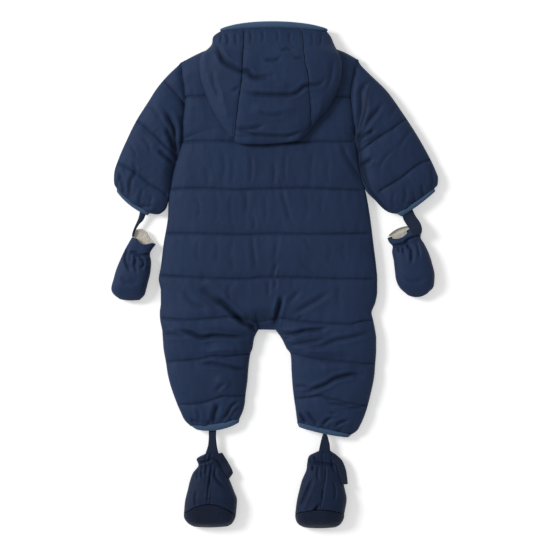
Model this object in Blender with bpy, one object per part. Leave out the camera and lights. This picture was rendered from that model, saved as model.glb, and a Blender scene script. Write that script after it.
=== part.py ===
"""Padded baby snowsuit, laid out face down with its hood thrown back.

Run it with: blender --background --python part.py

The suit lies on the plane z = 0 with its head towards +Y, and the wearer's left side is at -X. Its outline is 526 mm
wide and 811 mm long. Each piece is a wall of padded cloth: a sheet of outer points over a sheet of inner points,
closed along its cut edges. The fronts lie flat below, the back lies on them, and what stays open between the two is
a slit. Sizes are in millimetres up to the last step, where each mesh is written in metres.
"""

import math
from collections import namedtuple

import bmesh
import bpy
from mathutils import Matrix

MM = 0.001

# Layers, as heights over the floor
SLIT_LOW = 10.0  # inner face of the lower layer
SLIT_HIGH = 12.5  # inner face of the upper layer
SEAM_LOW = 10.3  # where the upper layer's inner edge comes down to the side seam
SEAM = 11.2  # widest point of a rounded side
LIP = 1.4  # how thick the upper layer's cut edge is, over the seam
FRONT_LIP = 7.6  # height of the lower layer's outer edge, where it starts to turn in
GAP = 0.3  # between two pieces that are sewn together
WALL = 4.0  # how far an inner sheet stays inside its outer one along a rounded side

# Cross-sections
CROWN = 3.2  # power of a padded section: flat on top, round at both sides
FLOOR_TURN = 14.0  # power of the tight turn between a side and the flat underside
FLAT = 0.25  # an underside closer to the floor than this lies on it
PUFF_ROWS = (0.0, 0.1, 0.28, 0.5, 0.72, 0.9)  # where a channel has its rows, from sewn line to sewn line
DIP_REACH = 0.42  # how much of a channel a sewn line draws down
TORSO_COLUMNS = 21
LEG_COLUMNS = 10

# The back, from shoulder to crotch
QUILT_LINES = (285.6, 212.8, 137.6, 65.6, -4.8, -71.2)
QUILT_DEPTH = 4.6
BACK_CREST = 18.0
CROTCH_Y = -87.6
LEG_BLEND_TOP = -4.8  # from here down, one crown turns into the two crowns of the legs
ARMPIT_Y = 216.8
ARMHOLE_EDGE = 0.62  # height of the armhole's middle, as a share of the crest
NECK_EDGE = 0.5
NECK_HALF = 70.0
SHOULDER_ROUND = 34.0  # over this length the shoulder rounds down to its seam
SHOULDER_CREST = 2.2
ZIP_HALF = 7.6

Edge = namedtuple("Edge", "y left right")
TORSO = (
    Edge(345.0, -152.0, 138.0),
    Edge(335.0, -151.0, 131.2),
    Edge(322.4, -150.4, 128.2),
    Edge(303.2, -146.4, 124.0),
    Edge(284.0, -144.8, 122.4),
    Edge(266.4, -144.8, 124.0),
    Edge(245.6, -148.0, 126.4),
    Edge(216.8, -149.6, 128.8),
    Edge(191.2, -156.0, 132.5),
    Edge(170.4, -162.4, 135.2),
    Edge(151.2, -166.2, 140.8),
    Edge(124.0, -170.4, 147.2),
    Edge(90.4, -172.0, 152.8),
    Edge(52.0, -178.4, 157.6),
    Edge(13.6, -183.2, 162.4),
    Edge(-5.6, -186.4, 164.0),
    Edge(-24.8, -183.2, 164.0),
    Edge(-44.0, -183.2, 160.8),
    Edge(-60.0, -184.8, 155.0),
    Edge(-72.0, -184.0, 157.6),
    Edge(-88.0, -180.8, 160.8),
)

Point = namedtuple("Point", "x y")
BACK_TOP = (
    Point(-152.0, 340.0),
    Point(-112.8, 359.2),
    Point(-77.6, 368.8),
    Point(-39.0, 360.0),
    Point(-7.0, 356.0),
    Point(25.0, 360.0),
    Point(63.6, 368.8),
    Point(106.0, 359.2),
    Point(138.0, 342.4),
)
FRONT_TOP = (
    Point(-152.0, 340.0),
    Point(-112.8, 359.2),
    Point(-77.6, 368.8),
    Point(-55.0, 350.0),
    Point(-30.0, 338.0),
    Point(-7.0, 334.0),
    Point(16.0, 338.0),
    Point(41.0, 350.0),
    Point(63.6, 368.8),
    Point(106.0, 359.2),
    Point(138.0, 342.4),
)
CENTRE = (Point(-7.0, 340.0), Point(-11.0, -5.0), Point(-12.8, -88.0))

# Legs, sleeves, mittens and booties: a row is a line across the piece, from point a to point b. crest is the height of
# its padding over the seam, sewn is 1 on a sewn line, and bow is how far its middle lies off the straight line,
# to the right of the way from a to b.
Row = namedtuple("Row", "ax ay bx by crest sewn bow", defaults=(0.0, 0.0))
LEG_LEFT = (
    Row(-180.8, -88.8, -26.4, -87.2, 17.5),
    Row(-180.0, -101.6, -32.8, -100.0, 17.5),
    Row(-178.4, -120.8, -36.0, -117.6, 17.5),
    Row(-175.2, -138.4, -39.2, -125.6, 17.0, 1.0, -3.0),
    Row(-172.0, -159.2, -42.4, -148.0, 17.0),
    Row(-167.2, -178.4, -44.0, -168.8, 16.5),
    Row(-156.8, -207.2, -47.2, -192.8, 15.5, 1.0, -4.0),
    Row(-151.2, -220.0, -48.8, -208.8, 14.0),
    Row(-144.8, -232.8, -52.0, -220.0, 12.0),
    Row(-135.2, -242.4, -56.8, -230.4, 8.0),
)
LEG_RIGHT = (
    Row(0.8, -88.0, 160.8, -88.8, 17.5),
    Row(10.4, -101.6, 162.4, -101.6, 17.5),
    Row(18.4, -117.6, 162.4, -120.8, 17.5),
    Row(24.8, -127.2, 160.8, -142.4, 17.0, 1.0, -2.0),
    Row(26.4, -152.8, 159.2, -162.4, 17.0),
    Row(28.0, -176.8, 155.2, -183.2, 16.5),
    Row(30.4, -197.6, 148.0, -212.0, 15.5, 1.0, -3.0),
    Row(32.8, -213.6, 143.2, -226.4, 14.0),
    Row(34.4, -226.4, 136.8, -240.8, 12.0),
    Row(36.0, -237.6, 120.8, -256.8, 8.0),
)
SLEEVE_LEFT = (
    Row(-153.4, 336.0, -151.2, 216.8, 12.4, 1.0),
    Row(-181.6, 309.6, -153.6, 205.6, 15.0, 1.0),
    Row(-200.8, 280.8, -157.6, 194.4, 16.0),
    Row(-221.6, 248.8, -160.4, 183.2, 15.5, 1.0),
    Row(-236.8, 218.4, -166.0, 164.0, 15.5),
    Row(-252.0, 183.2, -172.0, 132.0, 15.0, 1.0),
    Row(-257.6, 165.6, -175.0, 114.4, 14.0),
    Row(-258.4, 152.8, -180.8, 104.0, 12.5),
    Row(-257.6, 145.0, -190.4, 99.2, 10.0),
    Row(-253.6, 138.4, -200.8, 99.2, 7.0),
)
SLEEVE_RIGHT = (
    Row(138.0, 341.0, 130.2, 218.4, 12.4, 1.0),
    Row(164.0, 312.8, 133.4, 208.8, 15.0, 1.0),
    Row(188.0, 284.0, 135.6, 202.4, 16.0),
    Row(212.0, 248.8, 137.0, 194.4, 15.5, 1.0),
    Row(231.2, 218.4, 141.8, 164.0, 15.5),
    Row(250.4, 183.2, 154.4, 132.0, 15.0, 1.0),
    Row(257.6, 167.2, 164.0, 117.6, 14.0),
    Row(261.6, 154.4, 175.2, 104.8, 12.5),
    Row(260.8, 144.8, 186.4, 99.2, 10.0),
    Row(255.4, 138.4, 196.8, 97.9, 7.0),
)
CUFF_LEFT = (Row(-253.8, 138.0, -200.9, 98.7, 7.6), Row(-255.0, 132.6, -204.4, 94.6, 6.6))
CUFF_RIGHT = (Row(255.7, 138.0, 197.0, 97.4, 7.6), Row(258.2, 133.4, 202.4, 92.8, 6.6))
HEM_LEFT = (Row(-135.0, -242.8, -56.8, -230.9, 7.6), Row(-125.6, -249.4, -58.4, -236.4, 6.4))
HEM_RIGHT = (Row(36.0, -238.1, 120.9, -257.2, 7.6), Row(38.0, -244.2, 117.0, -259.8, 6.4))

MITTEN_LEFT = (
    Row(-231.2, 55.2, -191.2, 48.0, 9.0),
    Row(-241.0, 40.0, -200.4, 33.0, 10.0, 1.0),
    Row(-248.8, 23.2, -198.4, 20.0, 15.0),
    Row(-255.2, 7.2, -200.0, 2.4, 16.5),
    Row(-259.2, -7.2, -203.2, -10.4, 16.5),
    Row(-262.6, -21.6, -206.4, -23.2, 15.0),
    Row(-258.6, -31.2, -209.6, -32.8, 11.0),
    Row(-248.8, -39.2, -216.8, -40.2, 4.0),
)
MITTEN_RIGHT = (
    Row(180.0, 59.2, 229.0, 83.4, 9.0, 0.0, 3.4),
    Row(184.0, 48.0, 233.0, 66.5, 10.0, 1.0, 3.0),
    Row(188.0, 36.0, 239.2, 50.4, 14.0),
    Row(190.4, 21.6, 246.4, 34.4, 16.0),
    Row(192.0, 7.2, 252.0, 18.4, 16.5),
    Row(194.4, -8.8, 256.0, -0.8, 16.0),
    Row(200.8, -21.6, 254.4, -18.4, 12.0),
    Row(212.0, -32.0, 245.6, -28.8, 4.0),
)
# The mouth's lower lip reaches past the upper one, and the fleece shows on it
MITTEN_LIP_LEFT = (Row(-228.6, 66.0, -196.6, 57.4, 0.0, 0.0, -10.5), Row(-230.4, 55.8, -191.8, 48.8, 0.0))
MITTEN_LIP_RIGHT = (Row(183.6, 65.0, 215.5, 78.6, 0.0, 0.0, -3.6), Row(180.9, 61.3, 217.4, 76.1, 0.0, 0.0, 1.2))

BOOTIE_LEFT = (
    Row(-111.2, -286.4, -92.0, -285.6, 6.0),
    Row(-122.4, -293.6, -87.2, -298.4, 9.0),
    Row(-124.8, -304.8, -81.6, -309.6, 11.0),
    Row(-131.2, -319.2, -75.2, -322.4, 13.0, 1.0),
    Row(-136.8, -331.2, -71.2, -332.0, 17.0),
    Row(-140.0, -344.8, -65.6, -346.4, 20.0),
    Row(-144.0, -360.8, -60.8, -360.8, 22.0, 0.0, -6.0),
    Row(-146.2, -382.0, -62.6, -384.0, 22.0, 1.0, -18.0),
)
BOOTIE_RIGHT = (
    Row(68.0, -283.2, 88.8, -281.6, 6.0),
    Row(55.2, -290.4, 96.8, -288.8, 9.0),
    Row(52.0, -300.0, 101.6, -301.6, 11.0),
    Row(48.8, -312.8, 104.8, -316.0, 13.0, 1.0),
    Row(43.2, -328.8, 108.8, -330.4, 17.0),
    Row(39.2, -343.2, 112.0, -343.2, 20.0),
    Row(35.2, -360.8, 114.9, -359.2, 22.0, 0.0, -6.0),
    Row(32.4, -382.0, 111.4, -382.0, 22.0, 1.0, -17.0),
)
SOLE_LEFT = (
    Row(-146.4, -383.2, -62.8, -385.2, 21.4, 0.0, -18.0),
    Row(-145.8, -389.0, -64.0, -390.0, 20.5, 0.0, -8.0),
    Row(-141.6, -396.0, -69.6, -396.0, 17.0, 0.0, 0.0),
    Row(-136.0, -400.0, -77.0, -400.0, 10.0, 0.0, 3.0),
    Row(-130.0, -402.0, -84.0, -402.0, 3.0, 0.0, 3.6),
)
SOLE_RIGHT = (
    Row(32.2, -383.4, 111.2, -383.4, 21.4, 0.0, -17.0),
    Row(33.0, -389.0, 109.4, -389.0, 20.5, 0.0, -8.0),
    Row(36.4, -397.0, 104.4, -396.4, 17.0, 0.0, 0.0),
    Row(41.6, -401.4, 99.0, -401.0, 10.0, 0.0, 2.4),
    Row(48.0, -402.8, 93.0, -402.8, 3.0, 0.0, 2.8),
)

# Hood, thrown back on the shoulders: its outline and panel seams at each height y, and the height of its crown
HoodRow = namedtuple("HoodRow", "y left seam_left seam_right right rim crest")
HOOD = (
    HoodRow(389.4, -86.0, -49.0, 42.5, 83.0, 15.0, 29.0),
    HoodRow(381.6, -99.0, -49.6, 44.4, 89.4, 15.0, 34.0),
    HoodRow(368.8, -101.6, -50.0, 45.4, 94.8, 16.0, 40.0),
    HoodRow(352.0, -116.0, -50.7, 46.4, 102.4, 28.0, 46.0),
    HoodRow(335.2, -120.8, -51.4, 48.4, 106.7, 30.0, 49.0),
    HoodRow(314.4, -119.2, -52.4, 53.4, 105.6, 31.5, 51.0),
    HoodRow(288.8, -111.2, -56.0, 54.6, 97.3, 32.0, 52.0),
    HoodRow(264.8, -101.6, -59.2, 56.8, 84.4, 33.0, 51.0),
    HoodRow(240.0, -87.2, -62.0, 57.2, 63.0, 34.0, 48.5),
    HoodRow(227.2, -77.3, -63.4, 48.6, 52.2, 35.0, 46.0),
    HoodRow(219.0, -70.8, -64.6, 41.6, 45.0, 36.0, 43.5),
)
HOOD_FOLD = (  # the rolled bottom edge of the centre panel
    Point(-66.0, 213.0),
    Point(-60.0, 210.0),
    Point(-46.4, 207.8),
    Point(-24.8, 207.6),
    Point(0.8, 209.0),
    Point(26.4, 211.6),
    Point(36.0, 213.6),
    Point(42.0, 216.0),
)
FOLD_TURNS = (30.0, 65.0, 100.0, 140.0)  # degrees round the fold
NAPE_Y = 352.0  # the neck seam under the hood
HOOD_WALL = 6.0
HOOD_LAYER = 0.35  # the most that one layer takes of the height between top and underside
FOLD_HOLLOW = 0.45  # how far the slit reaches into the rolled fold, as a share of it
HOOD_CROWN = 2.6
HOOD_RIM_TURN = 8.0
RIM_INSET = 4.8
COLLAR_TOP = 8.4
HOOD_CLEAR = 1.8  # between the back and the hood that lies on it
MOUTH_BOW = 4.6
MOUTH_Y = 386.0  # where the collar ends and the binding of the mouth begins

Bend = namedtuple("Bend", "x y z width height")
MOUTH = (
    Bend(-15.2, 390.4, 4.6, 8.0, 8.0),
    Bend(-44.0, 390.8, 4.8, 8.0, 8.0),
    Bend(-72.0, 391.4, 5.2, 7.0, 8.0),
    Bend(-85.0, 392.9, 8.8, 5.0, 8.0),
    Bend(-89.0, 393.1, 14.6, 5.0, 8.0),
    Bend(-82.0, 394.4, 20.4, 6.6, 8.0),
    Bend(-62.0, 397.4, 24.2, 9.0, 8.0),
    Bend(-34.0, 399.5, 26.6, 10.4, 8.0),
    Bend(-4.0, 400.3, 27.6, 10.8, 8.0),
    Bend(26.0, 399.5, 26.6, 10.4, 8.0),
    Bend(56.0, 397.4, 24.2, 9.0, 8.0),
    Bend(77.0, 394.4, 20.4, 6.6, 8.0),
    Bend(85.0, 393.1, 14.6, 5.0, 8.0),
    Bend(81.0, 392.9, 8.8, 5.0, 8.0),
    Bend(66.0, 391.4, 5.2, 7.0, 8.0),
    Bend(34.0, 390.8, 4.8, 8.0, 8.0),
    Bend(0.8, 390.4, 4.6, 8.0, 8.0),
)


def read(table, at, key, value):
    """A column of a table, read at any place between its rows."""
    rows = sorted(table, key=lambda row: getattr(row, key))
    if at <= getattr(rows[0], key):
        return getattr(rows[0], value)
    for low, high in zip(rows, rows[1:]):
        if at <= getattr(high, key):
            share = (at - getattr(low, key)) / (getattr(high, key) - getattr(low, key))
            return mix(getattr(low, value), getattr(high, value), share)
    return getattr(rows[-1], value)


def mix(first, second, share):
    return first + (second - first) * share


def smooth(share):
    share = min(max(share, 0.0), 1.0)
    return share * share * (3.0 - 2.0 * share)


def crown(across, power=CROWN):
    """Height of a padded section at a place across it, from 0 at either side (-1 and 1) to 1 in the middle."""
    return math.sqrt(max(0.0, 1.0 - abs(across) ** power))


def spread(count):
    """Places across a section from -1 to 1, close together where the sides turn down."""
    return [math.sin(math.pi / 2.0 * (2.0 * i / (count - 1) - 1.0)) for i in range(count)]


def dip(share):
    """How much of a sewn line's depth is left at a place along the channel beside it."""
    return max(0.0, 1.0 - share / DIP_REACH) ** 2


def underside(across, power=FLOOR_TURN, lip=FRONT_LIP):
    height = lip * (1.0 - crown(across, power))
    return height if height > FLAT else 0.0


# ---------------------------------------------------------------- meshes


def finish_of(name, colour, roughness):
    finish = bpy.data.materials.new(name)
    finish.use_nodes = True
    shader = finish.node_tree.nodes["Principled BSDF"]
    shader.inputs["Base Color"].default_value = (*colour, 1.0)
    shader.inputs["Roughness"].default_value = roughness
    finish.diffuse_color = (*colour, 1.0)
    return finish


NAVY = (0.021, 0.038, 0.082)
BLUE_BINDING = (0.056, 0.098, 0.165)
CREAM = (0.62, 0.57, 0.49)
DARK_SOLE = (0.011, 0.017, 0.034)
TAPE_NAVY = (0.016, 0.025, 0.052)
DARK_ZIP = (0.030, 0.035, 0.045)


def put(name, mesh, colour, roughness=0.62):
    """Makes a mesh in millimetres into the object of one node."""
    bmesh.ops.recalc_face_normals(mesh, faces=mesh.faces)
    bmesh.ops.transform(mesh, matrix=Matrix.Scale(MM, 4), verts=mesh.verts)
    data = bpy.data.meshes.new(name)
    mesh.to_mesh(data)
    mesh.free()
    data.shade_smooth()
    data.set_sharp_from_angle(angle=math.radians(50.0))
    data.materials.append(finish_of(name, colour, roughness))
    piece = bpy.data.objects.new(name, data)
    bpy.context.scene.collection.objects.link(piece)
    return piece


def wall(name, outer, inner, faces, colour=NAVY):
    """A wall of cloth: the same faces over its outer and its inner points, and an edge face along each cut edge."""
    mesh = bmesh.new()
    outside = [mesh.verts.new(point) for point in outer]
    inside = [mesh.verts.new(point) for point in inner]
    ways = {}
    for face in faces:
        corners = [c for i, c in enumerate(face) if c != face[i - 1]]
        mesh.faces.new([outside[c] for c in corners])
        mesh.faces.new([inside[c] for c in reversed(corners)])
        for first, second in zip(corners, corners[1:] + corners[:1]):
            ways[first, second] = True
    for first, second in ways:
        if (second, first) not in ways:
            mesh.faces.new([outside[second], outside[first], inside[first], inside[second]])
    return put(name, mesh, colour)


def net(rows, columns, start=0, ring=False):
    """The faces of a grid of points, row by row, closed round each row where it is a ring."""
    faces = []
    for r in range(rows - 1):
        for c in range(columns if ring else columns - 1):
            after = (c + 1) % columns
            near, far = start + r * columns, start + (r + 1) * columns
            faces.append((near + c, near + after, far + after, far + c))
    return faces


# ---------------------------------------------------------------- quilted rows


def quilted(table, shares=PUFF_ROWS):
    """A table's rows with the rows of each padded channel between them, each with how deep it is drawn down."""
    lines = [i for i, row in enumerate(table) if row.sewn or i in (0, len(table) - 1)]
    middles = [((row.ax + row.bx) / 2.0, (row.ay + row.by) / 2.0) for row in table]
    along = [0.0]
    for (x0, y0), (x1, y1) in zip(middles, middles[1:]):
        along.append(along[-1] + math.hypot(x1 - x0, y1 - y0))
    rows = []
    for first, last in zip(lines, lines[1:]):
        for share in shares:
            place = mix(along[first], along[last], share)
            drawn = table[first].sewn * dip(share) + table[last].sewn * dip(1.0 - share)
            rows.append(between(table, along, place, drawn))
    rows.append(table[-1])
    return rows


def between(table, along, place, drawn):
    """The row at a length along a table, drawn down by a share of the quilting's depth."""
    i = max(i for i in range(len(along) - 1) if along[i] <= place)
    share = (place - along[i]) / (along[i + 1] - along[i])
    values = [mix(a, b, share) for a, b in zip(table[i], table[i + 1])]
    return Row(*values)._replace(sewn=drawn)


def across_row(row, across, inset=0.0):
    """The place (x, y) at a share across a row, from -1 at a to 1 at b, drawn in from both ends by inset."""
    length = math.hypot(row.bx - row.ax, row.by - row.ay)
    share = 0.5 + 0.5 * across * (1.0 - 2.0 * inset / length)
    turn = row.bow * (1.0 - across * across) / length
    x = mix(row.ax, row.bx, share) + (row.by - row.ay) * turn
    y = mix(row.ay, row.by, share) - (row.bx - row.ax) * turn
    return x, y


def crest_of(row):
    return row.crest - QUILT_DEPTH * row.sewn * min(1.0, row.crest / BACK_CREST)


def tube_ring(row, places, seam=SEAM):
    """The outer and inner points round a flattened tube: over its top from a to b, and back along the floor."""
    outer, inner = [], []
    for across in places:
        x, y = across_row(row, across)
        outer.append((x, y, seam + crest_of(row) * crown(across)))
    for across in reversed(places[1:-1]):
        x, y = across_row(row, across)
        outer.append((x, y, underside(across, lip=seam)))
    for across in places:
        x, y = across_row(row, across, WALL)
        middle = (SLIT_LOW + SLIT_HIGH) / 2.0
        inner.append((x, y, SLIT_HIGH if abs(across) < 1.0 else middle))
    for across in reversed(places[1:-1]):
        x, y = across_row(row, across, WALL)
        inner.append((x, y, SLIT_LOW))
    return outer, inner


def tube(name, table, count=11, colour=NAVY, shares=PUFF_ROWS, end=None):
    """A flattened tube of cloth, open at both ends, or closed at the far one like a bag."""
    places = spread(count)
    rows = quilted(table, shares) if shares else list(table)
    if end:
        rows[0] = rows[0]._replace(sewn=0.6)
    outer, inner = [], []
    for row in rows:
        ring_outer, ring_inner = tube_ring(row, places)
        outer += ring_outer
        inner += ring_inner
    size = 2 * count - 2
    faces = net(len(rows), size, ring=True)
    if end == "closed":
        inner = draw_in(inner, size, rows[-1])
        faces += cap((len(rows) - 1) * size, count)
    return outer, inner, faces, rows, size


def cap(start, count):
    """Faces that close a flattened ring, each from a point on its top to the one under it."""
    size = 2 * count - 2
    under = [start + (size - c) % size for c in range(count)]
    return [(start + c, start + c + 1, under[c + 1], under[c]) for c in range(count - 1)]


BAG_BACK = 0.7  # how far the inner end of a bag stays behind its outer end, as a share of the last row
BAG_IN = 0.3  # how much narrower it is
BAG_FLAT = 0.75  # how much flatter it is


def draw_in(inner, size, last):
    """Moves the inner points of a bag's last ring back from its closed end by the wall's thickness."""
    first = len(inner) - size
    cx, cy = (last.ax + last.bx) / 2.0, (last.ay + last.by) / 2.0
    back = [inner[i - size] for i in range(first, len(inner))]
    for i in range(size):
        x, y, z = inner[first + i]
        bx, by, _ = back[i]
        x, y = mix(mix(x, bx, BAG_BACK), cx, BAG_IN), mix(mix(y, by, BAG_BACK), cy, BAG_IN)
        inner[first + i] = (x, y, mix(z, SEAM, BAG_FLAT))
    return inner


# ---------------------------------------------------------------- back and fronts


def edge_left(y):
    return read(TORSO, y, "y", "left")


def edge_right(y):
    return read(TORSO, y, "y", "right")


def armhole_share(y, top):
    """Height of the body's edge at a place beside it: the armhole stands up, the free side comes down to its seam."""
    if y <= ARMPIT_Y:
        return 0.0
    across = 2.0 * (y - ARMPIT_Y) / (top - ARMPIT_Y) - 1.0
    return ARMHOLE_EDGE * crown(min(across, 1.0))


def back_crest(x, y, top_line=BACK_TOP):
    """Crest of the back's padding at a place, rounded down to the shoulder seam."""
    below = read(top_line, x, "x", "y") - y
    if below >= SHOULDER_ROUND:
        return BACK_CREST
    neck = NECK_EDGE * smooth((NECK_HALF - abs(x + 7.0)) / 20.0)
    return max(BACK_CREST * mix(neck, 1.0, crown(1.0 - max(below, 0.0) / SHOULDER_ROUND, 2.4)), SHOULDER_CREST)


def back_height(x, y):
    """Height of the back over the floor, without its sewn lines."""
    left, right = edge_left(y), edge_right(y)
    across = min(max((2.0 * x - left - right) / (right - left), -1.0), 1.0)
    edge = armhole_share(y, 340.0)
    return SEAM_LOW + LIP + (back_crest(x, y) - LIP) * mix(edge, 1.0, crown(across))


def torso_rows():
    """Each row of the back from shoulder to crotch: its place between two lines, and how deep it is drawn down."""
    lines = (None,) + QUILT_LINES + (CROTCH_Y,)
    rows = []
    for i, (above, below) in enumerate(zip(lines, lines[1:])):
        for share in PUFF_ROWS if i < len(lines) - 2 else (0.0, 0.45):
            drawn = dip(share) * (above is not None) + dip(1.0 - share) * (below != CROTCH_Y)
            rows.append((above, below, share, drawn))
    rows.append((QUILT_LINES[-1], CROTCH_Y, 1.0, 0.0))
    return rows


def double_row(row_left, row_right, count):
    """Points across both legs at the crotch: count on the left leg, one between, and count on the right leg."""
    points = []
    for across in spread(count):
        points.append((*across_row(row_left, across), across))
    points.append(((row_left.bx + row_right.ax) / 2.0, (row_left.by + row_right.ay) / 2.0, 1.0))
    for across in spread(count):
        points.append((*across_row(row_right, across), across))
    return points


def back_points():
    """Outer and inner points of the back's rows, from shoulder to crotch."""
    outer, inner = [], []
    legs = double_row(LEG_LEFT[0], LEG_RIGHT[0], LEG_COLUMNS)
    for above, below, share, drawn in torso_rows():
        left_y = mix(above if above is not None else 340.0, below, share)
        left, right = edge_left(left_y), edge_right(left_y)
        for i, across in enumerate(spread(TORSO_COLUMNS)):
            x = mix(left, right, (across + 1.0) / 2.0)
            y = mix(above if above is not None else read(BACK_TOP, x, "x", "y"), below, share)
            split = smooth((LEG_BLEND_TOP - y) / (LEG_BLEND_TOP - CROTCH_Y))
            edge = armhole_share(left_y, 340.0)
            height = mix(edge, 1.0, crown(across))
            leg_x, leg_y, leg_across = legs[i]
            height = mix(height, crown(leg_across), split)
            depth = QUILT_DEPTH * drawn * height
            z = SEAM_LOW + LIP + (back_crest(x, y) - LIP) * height - depth
            side = abs(across) == 1.0
            last = share == 1.0
            x, y = mix(x, leg_x, split), mix(y, leg_y, split if last else 0.0)
            outer.append((x, y, z))
            free = (side and edge < 0.3) or (last and abs(leg_across) == 1.0)
            pull = WALL * across * (1.0 - split) + WALL * leg_across * split
            down = 0.0 if above is not None or share > 0.0 else 1.5
            lift = 1.5 if last and leg_across == 1.0 else 0.0
            inner.append((x - pull * 0.6, y - down + lift, SEAM_LOW if free else max(SEAM_LOW, min(SLIT_HIGH, z - LIP))))
    return outer, inner


def leg_rows(table):
    return quilted(table)[1:]


def make_back():
    """The back and the backs of both legs, one piece from shoulder to hem."""
    outer, inner = back_points()
    faces = net(len(torso_rows()), TORSO_COLUMNS)
    last = (len(torso_rows()) - 1) * TORSO_COLUMNS
    for table, first in ((LEG_LEFT, last), (LEG_RIGHT, last + LEG_COLUMNS + 1)):
        start = len(outer)
        rows = leg_rows(table)
        for row in rows:
            for across in spread(LEG_COLUMNS):
                x, y = across_row(row, across)
                height = crown(across)
                z = SEAM_LOW + LIP + (row.crest - LIP - QUILT_DEPTH * row.sewn) * height
                outer.append((x, y, z))
                x, y = across_row(row, across, WALL * 0.6)
                inner.append((x, y, SEAM_LOW if abs(across) == 1.0 else SLIT_HIGH))
        for c in range(LEG_COLUMNS - 1):
            faces.append((first + c, first + c + 1, start + c + 1, start + c))
        faces += net(len(rows), LEG_COLUMNS, start)
    wall("back", outer, inner, faces)


SIDE_STEPS = (0.0, 1.4, 4.5, 11.0)  # columns beside a rounded side, as distances from it
SIDE_HEIGHTS = (FRONT_LIP, 3.6, 1.0, 0.0)
NECK_PLACES = (105.8, 70.6, 48.0, 23.0)  # a front's columns, as distances from the zip: shoulder, neck point, neckline
LEG_SHARES = (0.26, 0.5, 0.66, 0.8)  # the same columns on its leg
FRONT_SHARES = (0.0, 0.025, 0.07, 0.16, 0.5)  # rows under the shoulder seam, as shares of the first channel
FRONT_RISE = (FRONT_LIP, 3.6, 1.0, 0.0, 0.0)
EDGE_PULL = 0.8  # how far a front's inner face stays inside its edges


def front_row(outer_x, outer_y, inner_x, inner_y, way, floor=0.0, turned=False):
    """Points of a front across one row, from its side to the zip or, turned up there too, to the inner leg."""
    points = []
    length = abs(inner_x - outer_x)
    zip_line = inner_x + way * (ZIP_HALF + 0.4)
    middle = [(zip_line - way * place - outer_x) / (inner_x - outer_x) for place in NECK_PLACES]
    for step, height in zip(SIDE_STEPS, SIDE_HEIGHTS):
        share = step / length
        points.append((outer_x + way * step, mix(outer_y, inner_y, share), max(height, floor)))
    for share in LEG_SHARES if turned else middle:
        points.append((mix(outer_x, inner_x, share), mix(outer_y, inner_y, share), floor))
    for step, height in zip(reversed(SIDE_STEPS), reversed(SIDE_HEIGHTS)):
        share = 1.0 - step / length
        rise = max(height, floor) if turned else floor
        points.append((inner_x - way * step, mix(outer_y, inner_y, share), rise))
    return points


def make_front(side, name):
    """One front with the front of its leg, flat on the floor, from the shoulder to the hem."""
    way = 1.0 if side == "left" else -1.0
    edge = edge_left if side == "left" else edge_right
    legs = LEG_LEFT if side == "left" else LEG_RIGHT
    outer, columns = [], 2 * len(SIDE_STEPS) + len(NECK_PLACES) + 1
    levels = [(340.0, share, rise) for share, rise in zip(FRONT_SHARES, FRONT_RISE)]
    ys = [mix(340.0, QUILT_LINES[0], share) for _, share, _ in levels]
    ys += [y for line in QUILT_LINES for y in (line, line - 30.0)][:-1]
    for i, y in enumerate(ys):
        centre = read(CENTRE, y, "y", "x") - way * ZIP_HALF
        floor = levels[i][2] if i < len(levels) else 0.0
        row = front_row(edge(y), y, centre - way * 0.4, y, way, floor)
        row.append((centre, y, floor))
        if i < len(levels):
            share = levels[i][1]
            row = [(x, mix(read(FRONT_TOP, x, "x", "y"), QUILT_LINES[0], share), z) for x, _, z in row]
        outer += row
    rows_of_leg = [row if side == "left" else row._replace(ax=row.bx, ay=row.by, bx=row.ax, by=row.ay) for row in legs]
    first = rows_of_leg[0]
    crotch = front_row(first.ax, first.ay, first.bx, first.by, way, turned=True)
    crotch.append((read(CENTRE, CROTCH_Y, "y", "x") - way * 0.2, CROTCH_Y, FRONT_LIP))
    outer += crotch
    body_rows = len(ys) + 1
    faces = net(body_rows, columns)
    start = len(outer)
    leg = rows_of_leg[1:]
    for row in leg:
        outer += front_row(row.ax, row.ay, row.bx, row.by, way, turned=True)
    before = (body_rows - 1) * columns
    for c in range(columns - 2):
        faces.append((before + c, before + c + 1, start + c + 1, start + c))
    faces += net(len(leg), columns - 1, start)
    inner = []
    for i, (x, y, z) in enumerate(outer):
        column = i % columns if i < start else (i - start) % (columns - 1)
        on_leg_edge = column == columns - 2 and i >= before
        pull = EDGE_PULL * ((column == 0) - on_leg_edge)
        down = EDGE_PULL if i < columns else 0.0
        up = EDGE_PULL if before <= i < start and column >= columns - 2 else 0.0
        inner.append((x + way * pull, y - down + up, SLIT_LOW))
    wall(name, outer, inner, faces)


# ---------------------------------------------------------------- sleeves, cuffs and hems


def make_sleeve(side, table):
    """A sleeve, flattened, whose upper end follows the armhole."""
    edge = edge_left if side == "left" else edge_right
    way = -1.0 if side == "left" else 1.0
    outer, inner, faces, rows, size = tube("sleeve", table, 11)
    top = rows[0].ay
    reach = len(PUFF_ROWS)
    for r in range(reach):
        fade = 1.0 - smooth(r / reach)
        for i in range(r * size, (r + 1) * size):
            for sheet in (outer, inner):
                x, y, z = sheet[i]
                level = min(max(y, ARMPIT_Y), top)
                straight = mix(rows[0].bx, rows[0].ax, (level - ARMPIT_Y) / (top - ARMPIT_Y))
                seam = edge(level) + way * 2.0 * GAP
                sheet[i] = (x + (seam - straight) * fade, y, z)
    wall(f"sleeve_{side}", outer, inner, faces)


def make_band(name, table, colour=BLUE_BINDING, count=9):
    """A binding round a flattened opening."""
    outer, inner, faces, _, _ = tube(name, table, count, shares=(0.0, 0.5))
    wall(name, outer, inner, faces, colour)


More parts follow.
